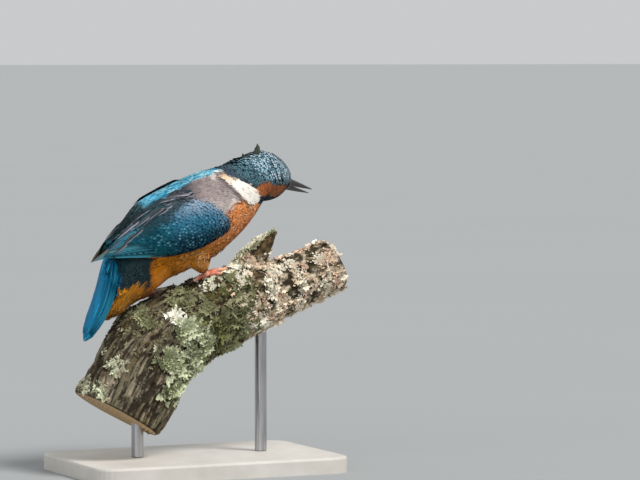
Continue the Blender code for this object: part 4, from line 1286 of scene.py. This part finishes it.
def wing_coat(side):
    """Coat of a folded wing: the flight feathers, then the spotted coverts over its front."""
    def surface(place, across, height):
        return wing_point(np.clip(place, 0, WING_END), np.clip(across, -1, 1), height - 0.15, side)

    feathers = wing_feathers(side)
    groups = long_vanes(surface, feathers[:PRIMARIES], end_tint=PRIMARY * 1.1)
    groups += long_vanes(surface, feathers[PRIMARIES:])
    groups.append(wing_coverts(side))
    coat_piece("coat_wing_" + side, groups, feather_flight, ("wing_" + side,))


for side in SIDES:
    wing_coat(side)


# ---------------------------------------------------------------- tail
TAIL_PAIRS = 8
# Coverts over the root of the tail, above and below: side, number, and, as shares of the tail, the end of their
# roots and their length.
TAIL_COVERTS = ((1.0, 320, 0.50, 0.45), (-1.0, 70, 0.2, 0.16))


def tail_feathers():
    """Pairs of long feathers, the middle ones on top, the outer ones darker, with painted shade on the right
    side.
    """
    feathers = []
    for index in range(TAIL_PAIRS):
        share = index / (TAIL_PAIRS - 1)
        for hand in (-1.0, 1.0):
            start = (0.1, hand * (0.08 + 0.30 * share))
            end = (1.0 - 0.06 * share ** 2, hand * (0.10 + 0.56 * share))
            # Painted shade: outer feathers are painted darker, about three times as much on the right side, the
            # shaded one.
            dark = smoothstep(0.0, 0.8, share) * (1.05 if hand < 0 else 0.3)
            dark = np.clip(dark + 0.4 * RNG.random() - 0.15, 0, 1)
            tint = mix(TAIL_BLUE, TAIL_DARK, dark) * (0.95 + 0.4 * RNG.random())
            height = 0.55 - 0.12 * index + 0.03 * hand
            feathers.append((start, end, 0.25, (height + 0.4, height), tint, mix(TAIL_BLUE, CYAN, 0.45),
                             np.array((0.5 + hand * 0.05 * (index + 1), 0.1))))
    return feathers


def tail_coverts(sign, count, far, longest):
    """Short feathers over the root of the tail, blue above and amber below, the rear ones first."""
    feathers = []
    for start in np.sort(RNG.uniform(-0.12, far, count))[::-1]:
        a = RNG.uniform(-1, 1)
        end = min(start + longest * (0.6 + 0.8 * RNG.random()), 0.97 - 0.12 * RNG.random() - 0.06 * abs(a))
        low, high = (np.interp(v, TAIL_SHARES, TAIL_THICKNESS) * math.sqrt(max(1 - 0.8 * a * a, 0.1))
                     for v in (start, end))
        blue = mix(mix(CYAN_DEEP, TAIL_BLUE, 0.6), CYAN, RNG.random() ** 3 * 0.3) * (0.75 + 0.5 * RNG.random())
        # Painted shade: coverts on the right edge are painted darker towards their ends.
        blue = mix(blue, TAIL_DARK, smoothstep(0.2, -0.6, a) * smoothstep(0.2, 0.5, end) * 0.85)
        blue = mix(blue, TAIL_DARK, smoothstep(0.55, 1.0, end) * 0.35) * 1.15
        tint = blue if sign > 0 or abs(a) > 0.5 else mix(UNDERTAIL, BELLY_LIGHT, RNG.random() * 0.4)
        rim = mix(blue, CYAN, 0.3) if sign > 0 else tint
        height = (sign * (low - 0.1), sign * (high + 0.12))
        feathers.append(((start, a * 0.90), (end, a * 0.74), 0.20, height, tint, rim,
                         np.array((0.5 + 0.3 * a, 0.2 + start))))
    return feathers


def tail_coat():
    """Coat of the tail: its long feathers, then the coverts over its root."""
    groups = long_vanes(tail_point, tail_feathers(), rows=22, columns=7)
    for coverts in TAIL_COVERTS:
        groups += long_vanes(tail_point, tail_coverts(*coverts), rows=9, columns=5)
    coat_piece("coat_tail", groups, feather_flight, ("tail",))


tail_coat()


# ---------------------------------------------------------------- bill
BILL_BLACK, BILL_GREY, BILL_EDGE = srgb(0.10, 0.095, 0.095), srgb(0.20, 0.18, 0.175), srgb(0.34, 0.28, 0.25)
BILL_STATIONS, BILL_SIDES, BILL_INNER_SIDES = 60, 25, 5
bill_material = grained("bill_horn_worn", 0.46, 0.35, grain=(700.0, 5.0, 0.6), stops=((0.3, 0.7), (0.7, 1.0)),
                        relief=(0.18, 0.0001))


def build_bill(name, sign, opening, reach):
    """One mandible: rounded ridge, slit nostril, and a cutting edge a little paler than the rest."""
    turn = np.array(Matrix.Rotation(math.radians(opening), 3, Vector(HEAD_LEFT)))
    start = head_point(HEAD[-1][0] + GAP, 0.0, -0.6)
    along, around = np.linspace(0, 1, BILL_STATIONS), np.linspace(0, math.pi, BILL_SIDES)
    taper = 1.0 - along ** BILL_TAPER
    half = BILL_TIP + (BILL_HALF_WIDTH - BILL_TIP) * taper
    depth = BILL_TIP + (BILL_DEPTH[name] - BILL_TIP) * taper
    cross = np.sign(np.cos(around)) * np.abs(np.cos(around)) ** 0.92
    rise = np.sin(around) ** 1.12
    groove = np.exp(-((rise[None, :] - 0.42) / 0.10) ** 2) * smoothstep(0.62, 0.1, along)[:, None] * 0.10
    nostril = np.exp(-((rise[None, :] - 0.50) / 0.13) ** 2)
    nostril = nostril * np.exp(-((along[:, None] - 0.14) / 0.045) ** 2) * 0.22
    dent = 1.0 - (groove + (nostril if sign > 0 else 0.0))
    across = half[:, None] * cross * dent
    up = sign * (GAP / 2 + depth[:, None] * rise * dent)
    inner_across = half[:, None] * np.linspace(-0.8, 0.8, BILL_INNER_SIDES)
    forward = HEAD_FORWARD * (BILL_LENGTH * reach * along)[:, None, None]
    outer = forward + HEAD_LEFT * across[..., None] + HEAD_TOP * up[..., None]
    inner = forward + HEAD_LEFT * inner_across[..., None] + HEAD_TOP * (sign * GAP / 2)
    verts, faces = closed_loft(start + np.concatenate([outer, inner], 1) @ turn.T)
    tone = (0.25 + 0.6 * smoothstep(0.0, 0.5, along))[:, None] * np.ones(BILL_SIDES)
    edge = smoothstep(0.16, 0.0, rise)[None, :] * smoothstep(0.9, 0.3, along)[:, None] * 0.8
    paint = mix(mix(BILL_GREY, BILL_BLACK, tone), BILL_EDGE, edge)
    # Painted shade: the inner faces between the mandibles are painted darker than the bill's black.
    inner_paint = np.broadcast_to(BILL_BLACK * 0.6, (BILL_STATIONS, BILL_INNER_SIDES, 3))
    paint = np.concatenate([paint, inner_paint], 1).reshape(-1, 3)
    item = make_object(name + "_horn", verts, faces, np.vstack([paint, BILL_GREY, BILL_BLACK]))
    finish_piece(item, bill_material, (name,))


build_bill("bill_upper", 1.0, 0.0, 1.0)
build_bill("bill_lower", -1.0, BILL_OPEN, LOWER_BILL_SHARE)


# ---------------------------------------------------------------- eyes and lids
eye_look = Look("eye_wet", 0.06, 0.22, Coat_Weight=0.1, Coat_Roughness=0.02)
eye_look.feed("Base Color", eye_look.painted())
lid_material = grained("eyelid_skin", 0.55, 0.3, grain=(2600.0, 2.0), relief=(0.6, 0.0001), painted=False,
                       stops=((0.3, srgb(0.24, 0.21, 0.20)), (0.7, srgb(0.40, 0.35, 0.32))))
PUPIL, PUPIL_BLACK, IRIS = 24.0, srgb(0.012, 0.01, 0.01), srgb(0.16, 0.09, 0.05)
LID_OPENING = 45.0      # degrees from the middle of the eye to the edge of its lids
EYE_SIDES = 48
# Rows of a lid: degrees from its edge, and height over the eye.
LID_DEGREES = np.array((0.0, 0.0, 1.2, 4.5, 9.0, 17.0))
LID_RISE = np.array((-0.12, 0.12, 0.26, 0.28, 0.16, -0.2))


def build_eye(side, sign):
    """Eyeball with pupil and iris, and two lids that meet in a low corner before and behind it."""
    centre = EYE_CENTRES[side]
    out = unit(HEAD_LEFT * sign + HEAD_FORWARD * 0.20 + HEAD_TOP * 0.06)
    fore = unit(HEAD_FORWARD - out * dot(HEAD_FORWARD, out))
    top = np.cross(fore, out) * (1 if dot(np.cross(fore, out), HEAD_TOP) > 0 else -1)
    polar = np.radians(np.concatenate([np.linspace(1.0, 70.0, 36), np.linspace(80.0, 176.0, 14)]))
    turn = np.linspace(0, 2 * np.pi, EYE_SIDES, endpoint=False)
    around = fore * np.cos(turn)[:, None] + top * np.sin(turn)[:, None]
    radius = EYE_RADIUS * (1 + 0.015 * smoothstep(0.6, 0.2, polar))
    way = out * np.cos(polar)[:, None, None] + around * np.sin(polar)[:, None, None]
    verts, faces = closed_loft(centre + radius[:, None, None] * way)
    degrees = np.degrees(polar)
    in_iris = smoothstep(PUPIL - 1, PUPIL + 1, degrees) * smoothstep(58, 40, degrees)
    tone = mix(PUPIL_BLACK, IRIS, in_iris * 0.8)
    paint = np.vstack([np.repeat(tone, EYE_SIDES, 0), tone[:1], tone[-1:]])
    eyeball = make_object("eyeball_" + side, verts, faces, paint)
    finish_piece(eyeball, eye_look.material, ("eye_" + side,))

    opening = np.radians(LID_OPENING) * (1.0 - 0.14 * np.abs(np.sin(turn)) + 0.12 * np.abs(np.cos(turn)) ** 5)
    angles = opening[None, :] + np.radians(LID_DEGREES)[:, None]
    reach = (EYE_RADIUS + LID_RISE)[:, None] * (1 + 0.01 * np.sin(turn * 9))[None, :]
    way = out * np.cos(angles)[..., None] + around[None] * np.sin(angles)[..., None]
    under = centre + (EYE_RADIUS - 0.35) * way[-1]
    lid = np.concatenate([centre + reach[..., None] * way, under[None]])
    item = make_object("eyelid_" + side, lid.reshape(-1, 3), grid_faces(len(lid), EYE_SIDES, closed=True))
    finish_piece(item, lid_material)


build_eye("left", 1.0)
build_eye("right", -1.0)


# ---------------------------------------------------------------- perch
PERCH_END, SPUR_END = len(PERCH) - 1.0, len(SPUR) - 1.0
PERCH_SIDES, PERCH_VOXEL = 72, 0.75


def station_ring(rows, place, sides, relief=None, outward=0.0):
    """Section of the perch or its spur, with the bark's swellings if relief gives them."""
    row = table_at(rows, place)
    _, left, top = axes_of(row)
    angle = 2 * np.pi * np.arange(sides) / sides
    swell = relief(place, angle) if relief else 1.0
    rise = np.where(np.sin(angle) > 0, row[0, 7], row[0, 8]) * swell + outward
    across = (row[0, 6] * swell + outward) * np.cos(angle)
    return row[0, :3] + left[0] * across[:, None] + top[0] * (rise * np.sin(angle))[:, None]


def bark_swell(place, angle):
    """How thick the perch is at a place and angle, as a share of its plain section."""
    ridges = 0.028 * np.sin(3 * angle + 1.3 * place) + 0.014 * np.sin(5 * angle - 2.1 * place + 1.0)
    return 1.0 + ridges + 0.016 * np.sin(2.7 * place + 2.0 * np.cos(angle))


def perch_point(place, degrees_from_crest, height):
    """Point above the bark. Positive degrees go to the left side."""
    row = table_at(PERCH, place)
    _, left, top = axes_of(row)
    angle = math.pi / 2 - math.radians(degrees_from_crest)
    swell = bark_swell(place, angle)
    across, up = left[0] * math.cos(angle) * row[0, 6] * swell, top[0] * math.sin(angle) * row[0, 7] * swell
    surface = row[0, :3] + across + up
    return surface + unit(surface - row[0, :3]) * height


perch_rings = np.array([station_ring(PERCH, place, PERCH_SIDES, bark_swell, -0.25)
                        for place in np.linspace(0, PERCH_END, 70)])
spur_rings = np.array([station_ring(SPUR, place, 32, None, -0.2 if place < 3.5 else 0.0)
                       for place in np.linspace(0, SPUR_END, 24)])
perch_parts = [closed_loft(perch_rings), closed_loft(spur_rings)]
bark_co, bark_no, bark_faces = fuse("perch", perch_parts, PERCH_VOXEL, 3)

perch_places = np.linspace(0, PERCH_END, 320)
perch_rows = table_at(PERCH, perch_places)
_, perch_left, perch_top = axes_of(perch_rows)


def on_perch(p):
    """Station on the perch, degrees from its crest (below 0 on the right), share of its radius, nearest row."""
    nearest = nearest_row(p, perch_rows)
    row, offset = perch_rows[nearest], p - perch_rows[nearest, :3]
    left, up = dot(offset, perch_left[nearest]), dot(offset, perch_top[nearest])
    reach = np.hypot(left / row[:, 6], up / np.where(up > 0, row[:, 7], row[:, 8]))
    return perch_places[nearest], np.degrees(np.arctan2(left, up)), reach, nearest


bark_place, bark_around, bark_reach, bark_near = on_perch(bark_co)
arc = np.concatenate([[0], np.cumsum(np.linalg.norm(np.diff(perch_rows[:, :3], axis=0), axis=1))])
# Grain coordinates: round the perch, along it, and outwards.
bark_turn = np.radians(bark_around)
grain_co = np.stack([np.cos(bark_turn) * 20, np.sin(bark_turn) * 20, arc[bark_near] * 0.14], -1)
on_spur = smoothstep(1.12, 1.35, bark_reach)
spur_axis = unit(np.array(SPUR[3][:3]) - np.array(SPUR[0][:3]))
spur_offset = bark_co - np.array(SPUR[0][:3])
spur_grain = spur_offset - spur_axis * dot(spur_offset, spur_axis)[:, None] * 0.85
grain_co = mix(grain_co, spur_grain, on_spur)
stem = smoothstep(4.2, 2.4, bark_place)

# Carved relief: fissures, cracks, plates, lumps and pits, none at the cut ends and little near the feet.
fissure = 1 - smoothstep(0.0, 0.20, np.abs(layered(grain_co, 3.0, 4, 71) - 0.5) * 2)
crack = 1 - smoothstep(0.0, 0.16, np.abs(layered(grain_co, 1.7, 3, 73) - 0.5) * 2)
plates = layered(grain_co, 5.5, 3, 83)
lumps = layered(bark_co, 5.0, 4, 91)
pits = layered(bark_co, 1.7, 2, 95)
ends = np.minimum(smoothstep(0.0, 0.10, bark_place), smoothstep(PERCH_END, 7.92, bark_place))
relief = -0.9 * fissure * (0.5 + 0.5 * stem) - 0.6 * crack + 0.9 * (plates - 0.5)
relief = relief + (1.7 * (lumps - 0.5)) * (1 - 0.5 * stem) + (0.6 + 0.5 * (1 - stem)) * (pits - 0.5)
relief = relief * (1 - 0.45 * on_spur) * ends
# Places that stay clear of high relief: under each foot, and on the crest beside the left one.
CLEARINGS = [(perch_point(station, crest, 0.0), 5.0, 14.0) for station, crest, _ in FEET.values()]
CLEARINGS.append((np.array((-24.0, -4.5, 87.0)), 3.0, 10.0))
feet_clear = np.min([smoothstep(near, far, np.linalg.norm(bark_co - middle, axis=1))
                     for middle, near, far in CLEARINGS], axis=0)
relief = np.where(relief > 0, relief * (0.25 + 0.75 * feet_clear), relief)
bark_co = bark_co + bark_no * relief[:, None]


def clumps(radius, centres):
    """How near each place of the bark is to the nearest of some centres."""
    return np.max([np.exp(-(np.linalg.norm(bark_co - np.array(centre), axis=1) / radius) ** 2)
                   for centre in centres], axis=0)


# Middles of the larger patches of lichen, and of the bare wood.
ROSETTE_CLUMPS = ((-12.0, -20.8, 73.0), (-8.0, -21.4, 69.5), (-3.3, -20.5, 64.6), (-5.5, -20.0, 60.0),
                  (-8.5, -19.0, 54.5), (-14.5, -19.5, 51.0), (-10.9, -17.5, 47.0), (-20.0, -21.0, 57.0),
                  (-18.0, -18.0, 42.0))
OLIVE_CLUMPS = ((13.7, -18.0, 84.0), (22.5, -16.8, 77.9), (7.4, -19.5, 75.9), (16.2, -12.6, 66.8),
                (1.0, -19.0, 78.0))
WHITE_CLUMPS = ((-18.7, -16.5, 79.3), (-14.0, -19.3, 77.3), (-17.0, -18.5, 76.6))
CREST_CLUMPS = ((4.0, -8.4, 95.0), (13.0, -6.0, 99.5), (19.0, -4.5, 103.0))
BARE_CLUMPS = ((5.0, -16.5, 88.5), (11.0, -15.0, 92.5), (17.0, -13.0, 96.5), (23.0, -11.0, 100.5))
BARK_GREY, BARK_BROWN, BARK_DARK = srgb(0.45, 0.42, 0.34), srgb(0.38, 0.32, 0.22), srgb(0.15, 0.12, 0.08)
BARK_PALE, BARK_OLIVE, CRUST = srgb(0.64, 0.59, 0.50), srgb(0.34, 0.31, 0.18), srgb(0.90, 0.83, 0.72)
BARK_BARE = srgb(0.40, 0.32, 0.19)
bare = np.maximum(clumps(8.0, BARE_CLUMPS), on_spur)


def bark_tone():
    """Colour of the bark, with painted shade in its fissures, cracks and sunk relief and under the lichen
    clumps.
    """
    tone = mix(BARK_BROWN, BARK_GREY, smoothstep(0.35, 0.65, layered(grain_co, 6.0, 3, 101)))
    tone = mix(tone, BARK_PALE, smoothstep(0.54, 0.70, layered(grain_co, 2.6, 3, 103)) * (0.35 + 0.5 * stem))
    tone = mix(tone, BARK_OLIVE, smoothstep(0.45, 0.6, layered(bark_co, 9.0, 3, 107)) * (1 - stem) * 0.8)
    tone = tone * (1 - 0.35 * (1 - stem) * smoothstep(0.3, 0.6, layered(bark_co, 4.0, 2, 108)))[:, None]
    tone = mix(tone, BARK_BARE, bare * 0.85)
    crust = smoothstep(0.46, 0.60, layered(bark_co, 2.6, 3, 109)) * smoothstep(4.9, 5.5, bark_place)
    tone = mix(tone, CRUST, crust * (1 - bare) * 0.8)
    # Painted shade under the lichen clumps and in the fissures and cracks; then dark blotches from noise, and
    # painted shade where the relief is sunk.
    dark = clumps(4.8, ROSETTE_CLUMPS + OLIVE_CLUMPS) * 0.6 + fissure * 0.7 + crack * 0.6
    hollow = smoothstep(0.46, 0.30, layered(bark_co, 3.0, 4, 113))
    dark = dark + hollow * 0.7 + smoothstep(-0.2, -1.2, relief) * 0.7
    return mix(tone, BARK_DARK, np.clip(dark, 0, 0.94))


def bark_material():
    look = Look("bark_weathered", 0.88, 0.2)
    speckle, grain = look.noise(420.0, 7.0, 0.68), look.noise(1500.0, 4.0, 0.6)
    colour = look.shade(speckle, (0.30, 0.55), (0.52, 1.0), (0.75, 1.25))
    look.feed("Base Color", look.multiply(colour, look.ramp(grain, (0.3, 0.75), (0.7, 1.1))))
    look.bump(grain, 0.5, 0.0003, after=look.bump(speckle, 0.7, 0.0007))
    return look.material


perch = make_object("perch_bark", bark_co, bark_faces, bark_tone())
finish_piece(perch, bark_material(), ("perch_stem", "perch_branch", "perch_spur"))

# Lichen: ruffled lobes that lie on the bark in rosettes.
LICHEN_GREEN, LICHEN_GREY = srgb(0.62, 0.64, 0.48), srgb(0.84, 0.86, 0.73)
LICHEN_OLIVE, LICHEN_SAGE = srgb(0.40, 0.40, 0.24), srgb(0.63, 0.63, 0.49)
LICHEN_CREAM, LICHEN_PINK = srgb(1.0, 0.97, 0.89), srgb(0.90, 0.79, 0.69)
LICHEN_WHITE = srgb(1.0, 0.98, 0.90)
lichen_material = grained("lichen_dry", 0.92, 0.12, grain=(1400.0, 5.0, 0.65), stops=((0.3, 0.8), (0.7, 1.12)),
                          relief=(0.6, 0.0003))


def lichen(name, count, density, palette, size, curl, seed, rows=5, columns=7):
    """Lobed leaves of lichen where density says, each from its own palette of two colours."""
    weight = np.clip(density, 0, 1)
    pick = RNG.choice(len(bark_co), count, p=weight / weight.sum())
    root, normal = bark_co[pick], bark_no[pick]
    any_way = unit(np.cross(normal, unit(RNG.normal(0, 1, (count, 3)))))
    other = np.cross(normal, any_way)
    s, t = np.linspace(0, 1, rows), np.linspace(-1, 1, columns)
    scale = size * np.exp(RNG.normal(0, 0.35, count))
    fan = 0.25 + 0.95 * s ** 0.8
    lobes = 1 + 0.22 * np.cos(t * 7.5)[None, :] * s[:, None]
    along = scale[:, None, None] * (s[:, None] * lobes)[None]
    across = scale[:, None, None] * (fan[:, None] * t * 0.75)[None]
    ruffle = 0.16 * np.sin(t[None, None] * 6.0 + RNG.random((count, 1, 1)) * 6) * s[None, :, None]
    lifted = curl * (s ** 2)[None, :, None] * (0.4 + 0.9 * RNG.random((count, 1, 1))) + ruffle
    high = scale[:, None, None] * lifted + 0.12
    verts = (root[:, None, None] + any_way[:, None, None] * along[..., None]
             + other[:, None, None] * across[..., None] + normal[:, None, None] * high[..., None])
    share = np.clip(noise(root, 4.0, seed) * 1.6 - 0.3 + RNG.normal(0, 0.15, count), 0, 1)
    paint = mix(palette[0], palette[1], share) * (0.8 + 0.35 * RNG.random((count, 1)))
    # Painted shade: each lobe is painted darker towards its root, in the gaps between lobes.
    paint = paint[:, None, None] * (0.25 + 0.85 * s[None, :, None, None] ** 0.6) * np.ones((1, 1, columns, 1))
    item = make_object(name, verts.reshape(-1, 3), many_grids(count, rows, columns), paint.reshape(-1, 3))
    finish_piece(item, lichen_material)


# Where each lichen grows.
clump = layered(bark_co, 11.0, 3, 131)
away = feet_clear * ends
broken = smoothstep(0.44, 0.56, layered(bark_co, 3.0, 3, 137))
middle_band = smoothstep(2.3, 3.2, bark_place) * smoothstep(5.6, 4.8, bark_place)
sun_side = smoothstep(-170, -140, bark_around) * smoothstep(-5, -30, bark_around)
sun_side = sun_side + 0.45 * smoothstep(0, 60, bark_around)
olive = np.maximum(smoothstep(0.50, 0.62, clump), clumps(7.0, OLIVE_CLUMPS))
green = middle_band * sun_side * (0.06 + broken) * olive * away * (1 - 0.9 * bare)
right_band = smoothstep(4.7, 5.4, bark_place) * (1 - on_spur)
cream = right_band * smoothstep(0.42, 0.56, layered(bark_co, 5.0, 3, 151)) * away
spur_edge = np.cross(spur_axis, (0.0, 1.0, 0.0))
spur_edge = spur_edge * np.sign(spur_edge[2])
crest = np.maximum(clumps(3.6, CREST_CLUMPS) * 0.9, on_spur * smoothstep(0.75, 0.95, dot(bark_no, spur_edge)))
flakes = smoothstep(1.6, 2.8, bark_place) * smoothstep(6.0, 4.6, bark_place) * (0.2 + 0.8 * lumps) * ends
flakes = flakes * feet_clear ** 1.5 * (1 - 0.85 * bare)
crest = crest * (0.1 + 0.9 * feet_clear) * ends
rosette, white = clumps(4.8, ROSETTE_CLUMPS) ** 1.4 * broken, clumps(2.1, WHITE_CLUMPS) ** 2 * broken
low_stem = smoothstep(3.2, 2.4, bark_place) * smoothstep(0.55, 0.7, clump) * ends

lichen("lichen_green", 2600, green, (LICHEN_OLIVE, LICHEN_SAGE), 1.5, 0.6, 141)
lichen("lichen_rosette", 1900, rosette, (LICHEN_GREEN, LICHEN_GREY), 1.5, 0.6, 143)
lichen("lichen_white", 140, white, (LICHEN_CREAM, LICHEN_WHITE), 1.35, 0.45, 147)
lichen("lichen_cream", 8300, cream, (LICHEN_PINK, LICHEN_CREAM), 0.87, 0.8, 161, rows=4, columns=5)
lichen("lichen_crest", 1100, crest, (LICHEN_GREY, LICHEN_WHITE), 1.0, 0.7, 171)
lichen("lichen_flakes", 3400, flakes, (BARK_BROWN, LICHEN_SAGE), 0.85, 0.35, 175)
lichen("lichen_stem", 700, low_stem, (LICHEN_GREY, BARK_PALE), 1.1, 0.3, 181)

wood_material = grained("cut_wood", 0.8, 0.2, grain=(600.0, 5.0), stops=((0.3, 0.75), (0.7, 1.05)))


def build_cut_end(label, place, push):
    """Flat cut end of the perch, with growth rings and a dark rim of bark."""
    ring = station_ring(PERCH, place, PERCH_SIDES, bark_swell, -0.9)
    row = table_at(PERCH, place)
    forward = axes_of(row)[0][0]
    steps = np.linspace(0.02, 1.0, 46)
    disc = row[0, :3] + (ring - row[0, :3])[None] * steps[:, None, None] + forward * push
    bands = 0.5 + 0.5 * np.sin(steps[:, None] * 60 + 2.2 * noise(disc, 9.0, 191))
    paint = mix(srgb(0.66, 0.53, 0.38), srgb(0.82, 0.72, 0.56), bands)
    paint = mix(paint, BARK_DARK, smoothstep(0.93, 1.0, steps)[:, None] * np.ones(PERCH_SIDES) * 0.8)
    faces = grid_faces(len(steps), PERCH_SIDES, closed=True)
    item = make_object("cut_end_" + label, disc.reshape(-1, 3), faces, paint.reshape(-1, 3))
    finish_piece(item, wood_material)


build_cut_end("lower", 0.0, -0.25)
build_cut_end("upper", PERCH_END, 0.25)


# ---------------------------------------------------------------- feet
CORAL, CORAL_PALE, CORAL_DARK = srgb(0.95, 0.54, 0.40), srgb(1.0, 0.85, 0.74), srgb(0.84, 0.38, 0.26)
FOOT_TONE = {"right": 1.0, "left": 1.4}      # the left foot, in the belly's shadow, is painted paler
SHANK_RADIUS, FOOT_VOXEL = 1.25, 0.24


def foot_material():
    look = Look("foot_scales", 0.42, 0.4)
    scutes = look.nodes.new("ShaderNodeTexVoronoi")
    scutes.inputs["Scale"].default_value = 1500.0
    look.links.new(look.nodes.new("ShaderNodeTexCoord").outputs["Object"], scutes.inputs["Vector"])
    look.shade(scutes.outputs["Distance"], (0.0, 1.05), (0.6, 0.72))
    look.bump(scutes.outputs["Distance"], 0.5, 0.00015)
    return look.material


def foot_tube(points, radii):
    """Closed round form along a line of points."""
    return closed_loft(tube_rings(np.array(points), radii, 16, (0.12, 1.0, 0.1)))


def station_step(place):
    """Millimetres of perch from one station to the next, near a place."""
    return np.linalg.norm(table_at(PERCH, place + 0.01)[0, :3] - table_at(PERCH, place)[0, :3]) / 0.01


def build_toe(name, root, crest, hand):
    """One toe that lies over the bark, thicker at its joints and ringed by scutes."""
    along, around, thick, thin = TOES[name]
    thick, thin = thick * 1.15, thin * 1.1
    shares = np.linspace(0, 1, 40)
    joints = 1 + 0.07 * np.cos(2 * np.pi * shares * (2 if name == "hind" else 3))
    joints = joints + 0.025 * np.cos(2 * np.pi * shares * abs(along) / 0.9)
    radii = (thick + (thin - thick) * shares) * joints
    points = [perch_point(root + along * s / station_step(root), crest + around * hand * s,
                          r + 0.18 + 0.4 * math.sin(math.pi * s) + 0.7 * (1 - s) ** 3)
              for s, r in zip(shares, radii)]
    radii[-3:] *= (0.95, 0.8, 0.5)
    return foot_tube(points, radii)


def build_foot(side, material):
    """Toes, ball and shank of a foot in one piece."""
    root, crest, hand = FEET[side]
    parts = [build_toe(name, root, crest, hand) for name in TOES]
    centre = perch_point(root, crest, BALL_RADIUS + TOE_GAP)
    knee, ankle = (np.array(row[:3]) for row in THIGHS[side][-2:])
    down = unit(ankle - knee)
    heel = ankle + down * (GAP + SHANK_STRAIGHT)
    shank = np.vstack([ankle - down * 2.0, ankle + down * GAP, heel, heel * 0.5 + centre * 0.5,
                       centre * 0.97 + heel * 0.03])
    ripple = 1 + 0.04 * np.cos(np.linspace(0, 40, 26))
    parts.append(foot_tube(table_at(shank, np.linspace(0, 4, 26)), SHANK_RADIUS * ripple))
    turn = np.linspace(0.05, math.pi - 0.05, 16)
    ball = [centre + np.array((0, 0, -math.cos(a))) * BALL_RADIUS for a in turn]
    parts.append(foot_tube(ball, np.sin(turn) * BALL_RADIUS * 1.15))
    co, _, faces = fuse("foot_" + side, parts, FOOT_VOXEL, 3)
    tone = mix(CORAL_DARK, CORAL, smoothstep(0.3, 0.6, layered(co, 1.6, 3, 201)))
    pale = smoothstep(0.5, 0.8, layered(co, 2.6, 2, 203)) * 0.5
    tone = mix(tone, CORAL_PALE, pale + 0.5 * smoothstep(3, 9, np.linalg.norm(co - centre, axis=1)))
    item = make_object("scaled_foot_" + side, co, faces, np.minimum(tone * FOOT_TONE[side], 1.0))
    finish_piece(item, material, ("foot_" + side,))


scales = foot_material()
for side in SIDES:
    build_foot(side, scales)


# ---------------------------------------------------------------- solids kept, with better surfaces
def base_material():
    look = Look("painted_base", 0.5, 0.35)
    mottle = look.noise(60.0, 6.0, 0.6)
    look.feed("Base Color", look.ramp(mottle, (0.3, srgb(0.74, 0.72, 0.69)), (0.7, srgb(0.80, 0.785, 0.76))))
    look.bump(look.noise(2200.0, 3.0), 0.12, 0.0001)
    return look.material


def rod_material():
    look = Look("brushed_rod", 0.3, 0.5, Metallic=1.0)
    brushed = look.noise(900.0, 4.0, stretch=(1, 1, 0.04))
    look.feed("Base Color", look.ramp(brushed, (0.3, srgb(0.62, 0.62, 0.63)), (0.7, srgb(0.78, 0.78, 0.79))))
    look.feed("Roughness", look.ramp(brushed, (0.3, 0.24), (0.7, 0.36)))
    return look.material


claw_material = grained("claw_keratin", 0.3, 0.5, grain=(900.0, 3.0), stretch=(1, 1, 4), painted=False,
                        stops=((0.3, srgb(0.10, 0.07, 0.06)), (0.7, srgb(0.26, 0.19, 0.16))))
BETTER = {"claw_": claw_material, "stand_base": base_material(), "stand_rod": rod_material()}
for name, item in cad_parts.items():
    for start, better in BETTER.items():
        if name.startswith(start):
            item.material_slots[0].material = better

# ---------------------------------------------------------------- floor, light and camera
VIEW_AZIMUTH, VIEW_ELEVATION = -25.0, 3.0
FRAME_CENTRE = (62.5, 115.0)      # right of and above the origin, across the view
DISTANCE, LENS = 1777.8, 200.0
FLOOR_HALF = 60000.0

floor_corners = [(x * FLOOR_HALF, y * FLOOR_HALF, 0) for x, y in ((-1, -1), (1, -1), (1, 1), (-1, 1))]
floor = make_object("studio_floor", floor_corners, [[0, 1, 2, 3]])
floor_material = grained("pale_floor", 0.9, 0.1, grain=(3.0, 2.0), painted=False,
                         stops=((0.3, srgb(0.596, 0.606, 0.611)), (0.7, srgb(0.600, 0.610, 0.615))))
floor.data.materials.append(floor_material)

azimuth, elevation = math.radians(VIEW_AZIMUTH), math.radians(VIEW_ELEVATION)
back = Vector((math.sin(azimuth) * math.cos(elevation), -math.cos(azimuth) * math.cos(elevation),
               math.sin(elevation)))
right = Vector((math.cos(azimuth), math.sin(azimuth), 0.0))
up = back.cross(right)
camera = bpy.data.objects.new("camera", bpy.data.cameras.new("camera"))
bpy.context.scene.collection.objects.link(camera)
camera.location = (right * FRAME_CENTRE[0] + up * FRAME_CENTRE[1] + back * DISTANCE) * MM
camera.rotation_mode = "QUATERNION"
camera.rotation_quaternion = (-back).to_track_quat("-Z", "Y")
camera.data.lens, camera.data.sensor_width = LENS, 36.0
camera.data.clip_start, camera.data.clip_end = 0.05, 200.0
bpy.context.scene.camera = camera


def soft_light(name, direction, spread, power, tint=(1.0, 1.0, 1.0)):
    """Even light from one direction, softened over a spread in degrees."""
    made = bpy.data.objects.new(name, bpy.data.lights.new(name, "SUN"))
    bpy.context.scene.collection.objects.link(made)
    way = Vector(direction).normalized()
    made.location = way
    made.rotation_mode = "QUATERNION"
    made.rotation_quaternion = way.to_track_quat("Z", "Y")
    made.data.angle, made.data.energy, made.data.color = math.radians(spread), power, tint


soft_light("key", (0.5, -0.75, 1.25), 20.0, 3.0, (1.0, 0.985, 0.955))
soft_light("fill", (-1.0, -0.8, 0.45), 60.0, 0.75, (0.95, 0.98, 1.0))
world = bpy.data.worlds.new("studio")
bpy.context.scene.world = world
world.use_nodes = True
world.node_tree.nodes["Background"].inputs["Color"].default_value = (0.98, 0.99, 1.0, 1.0)
world.node_tree.nodes["Background"].inputs["Strength"].default_value = 0.60
bpy.context.scene.view_settings.view_transform = "Standard"
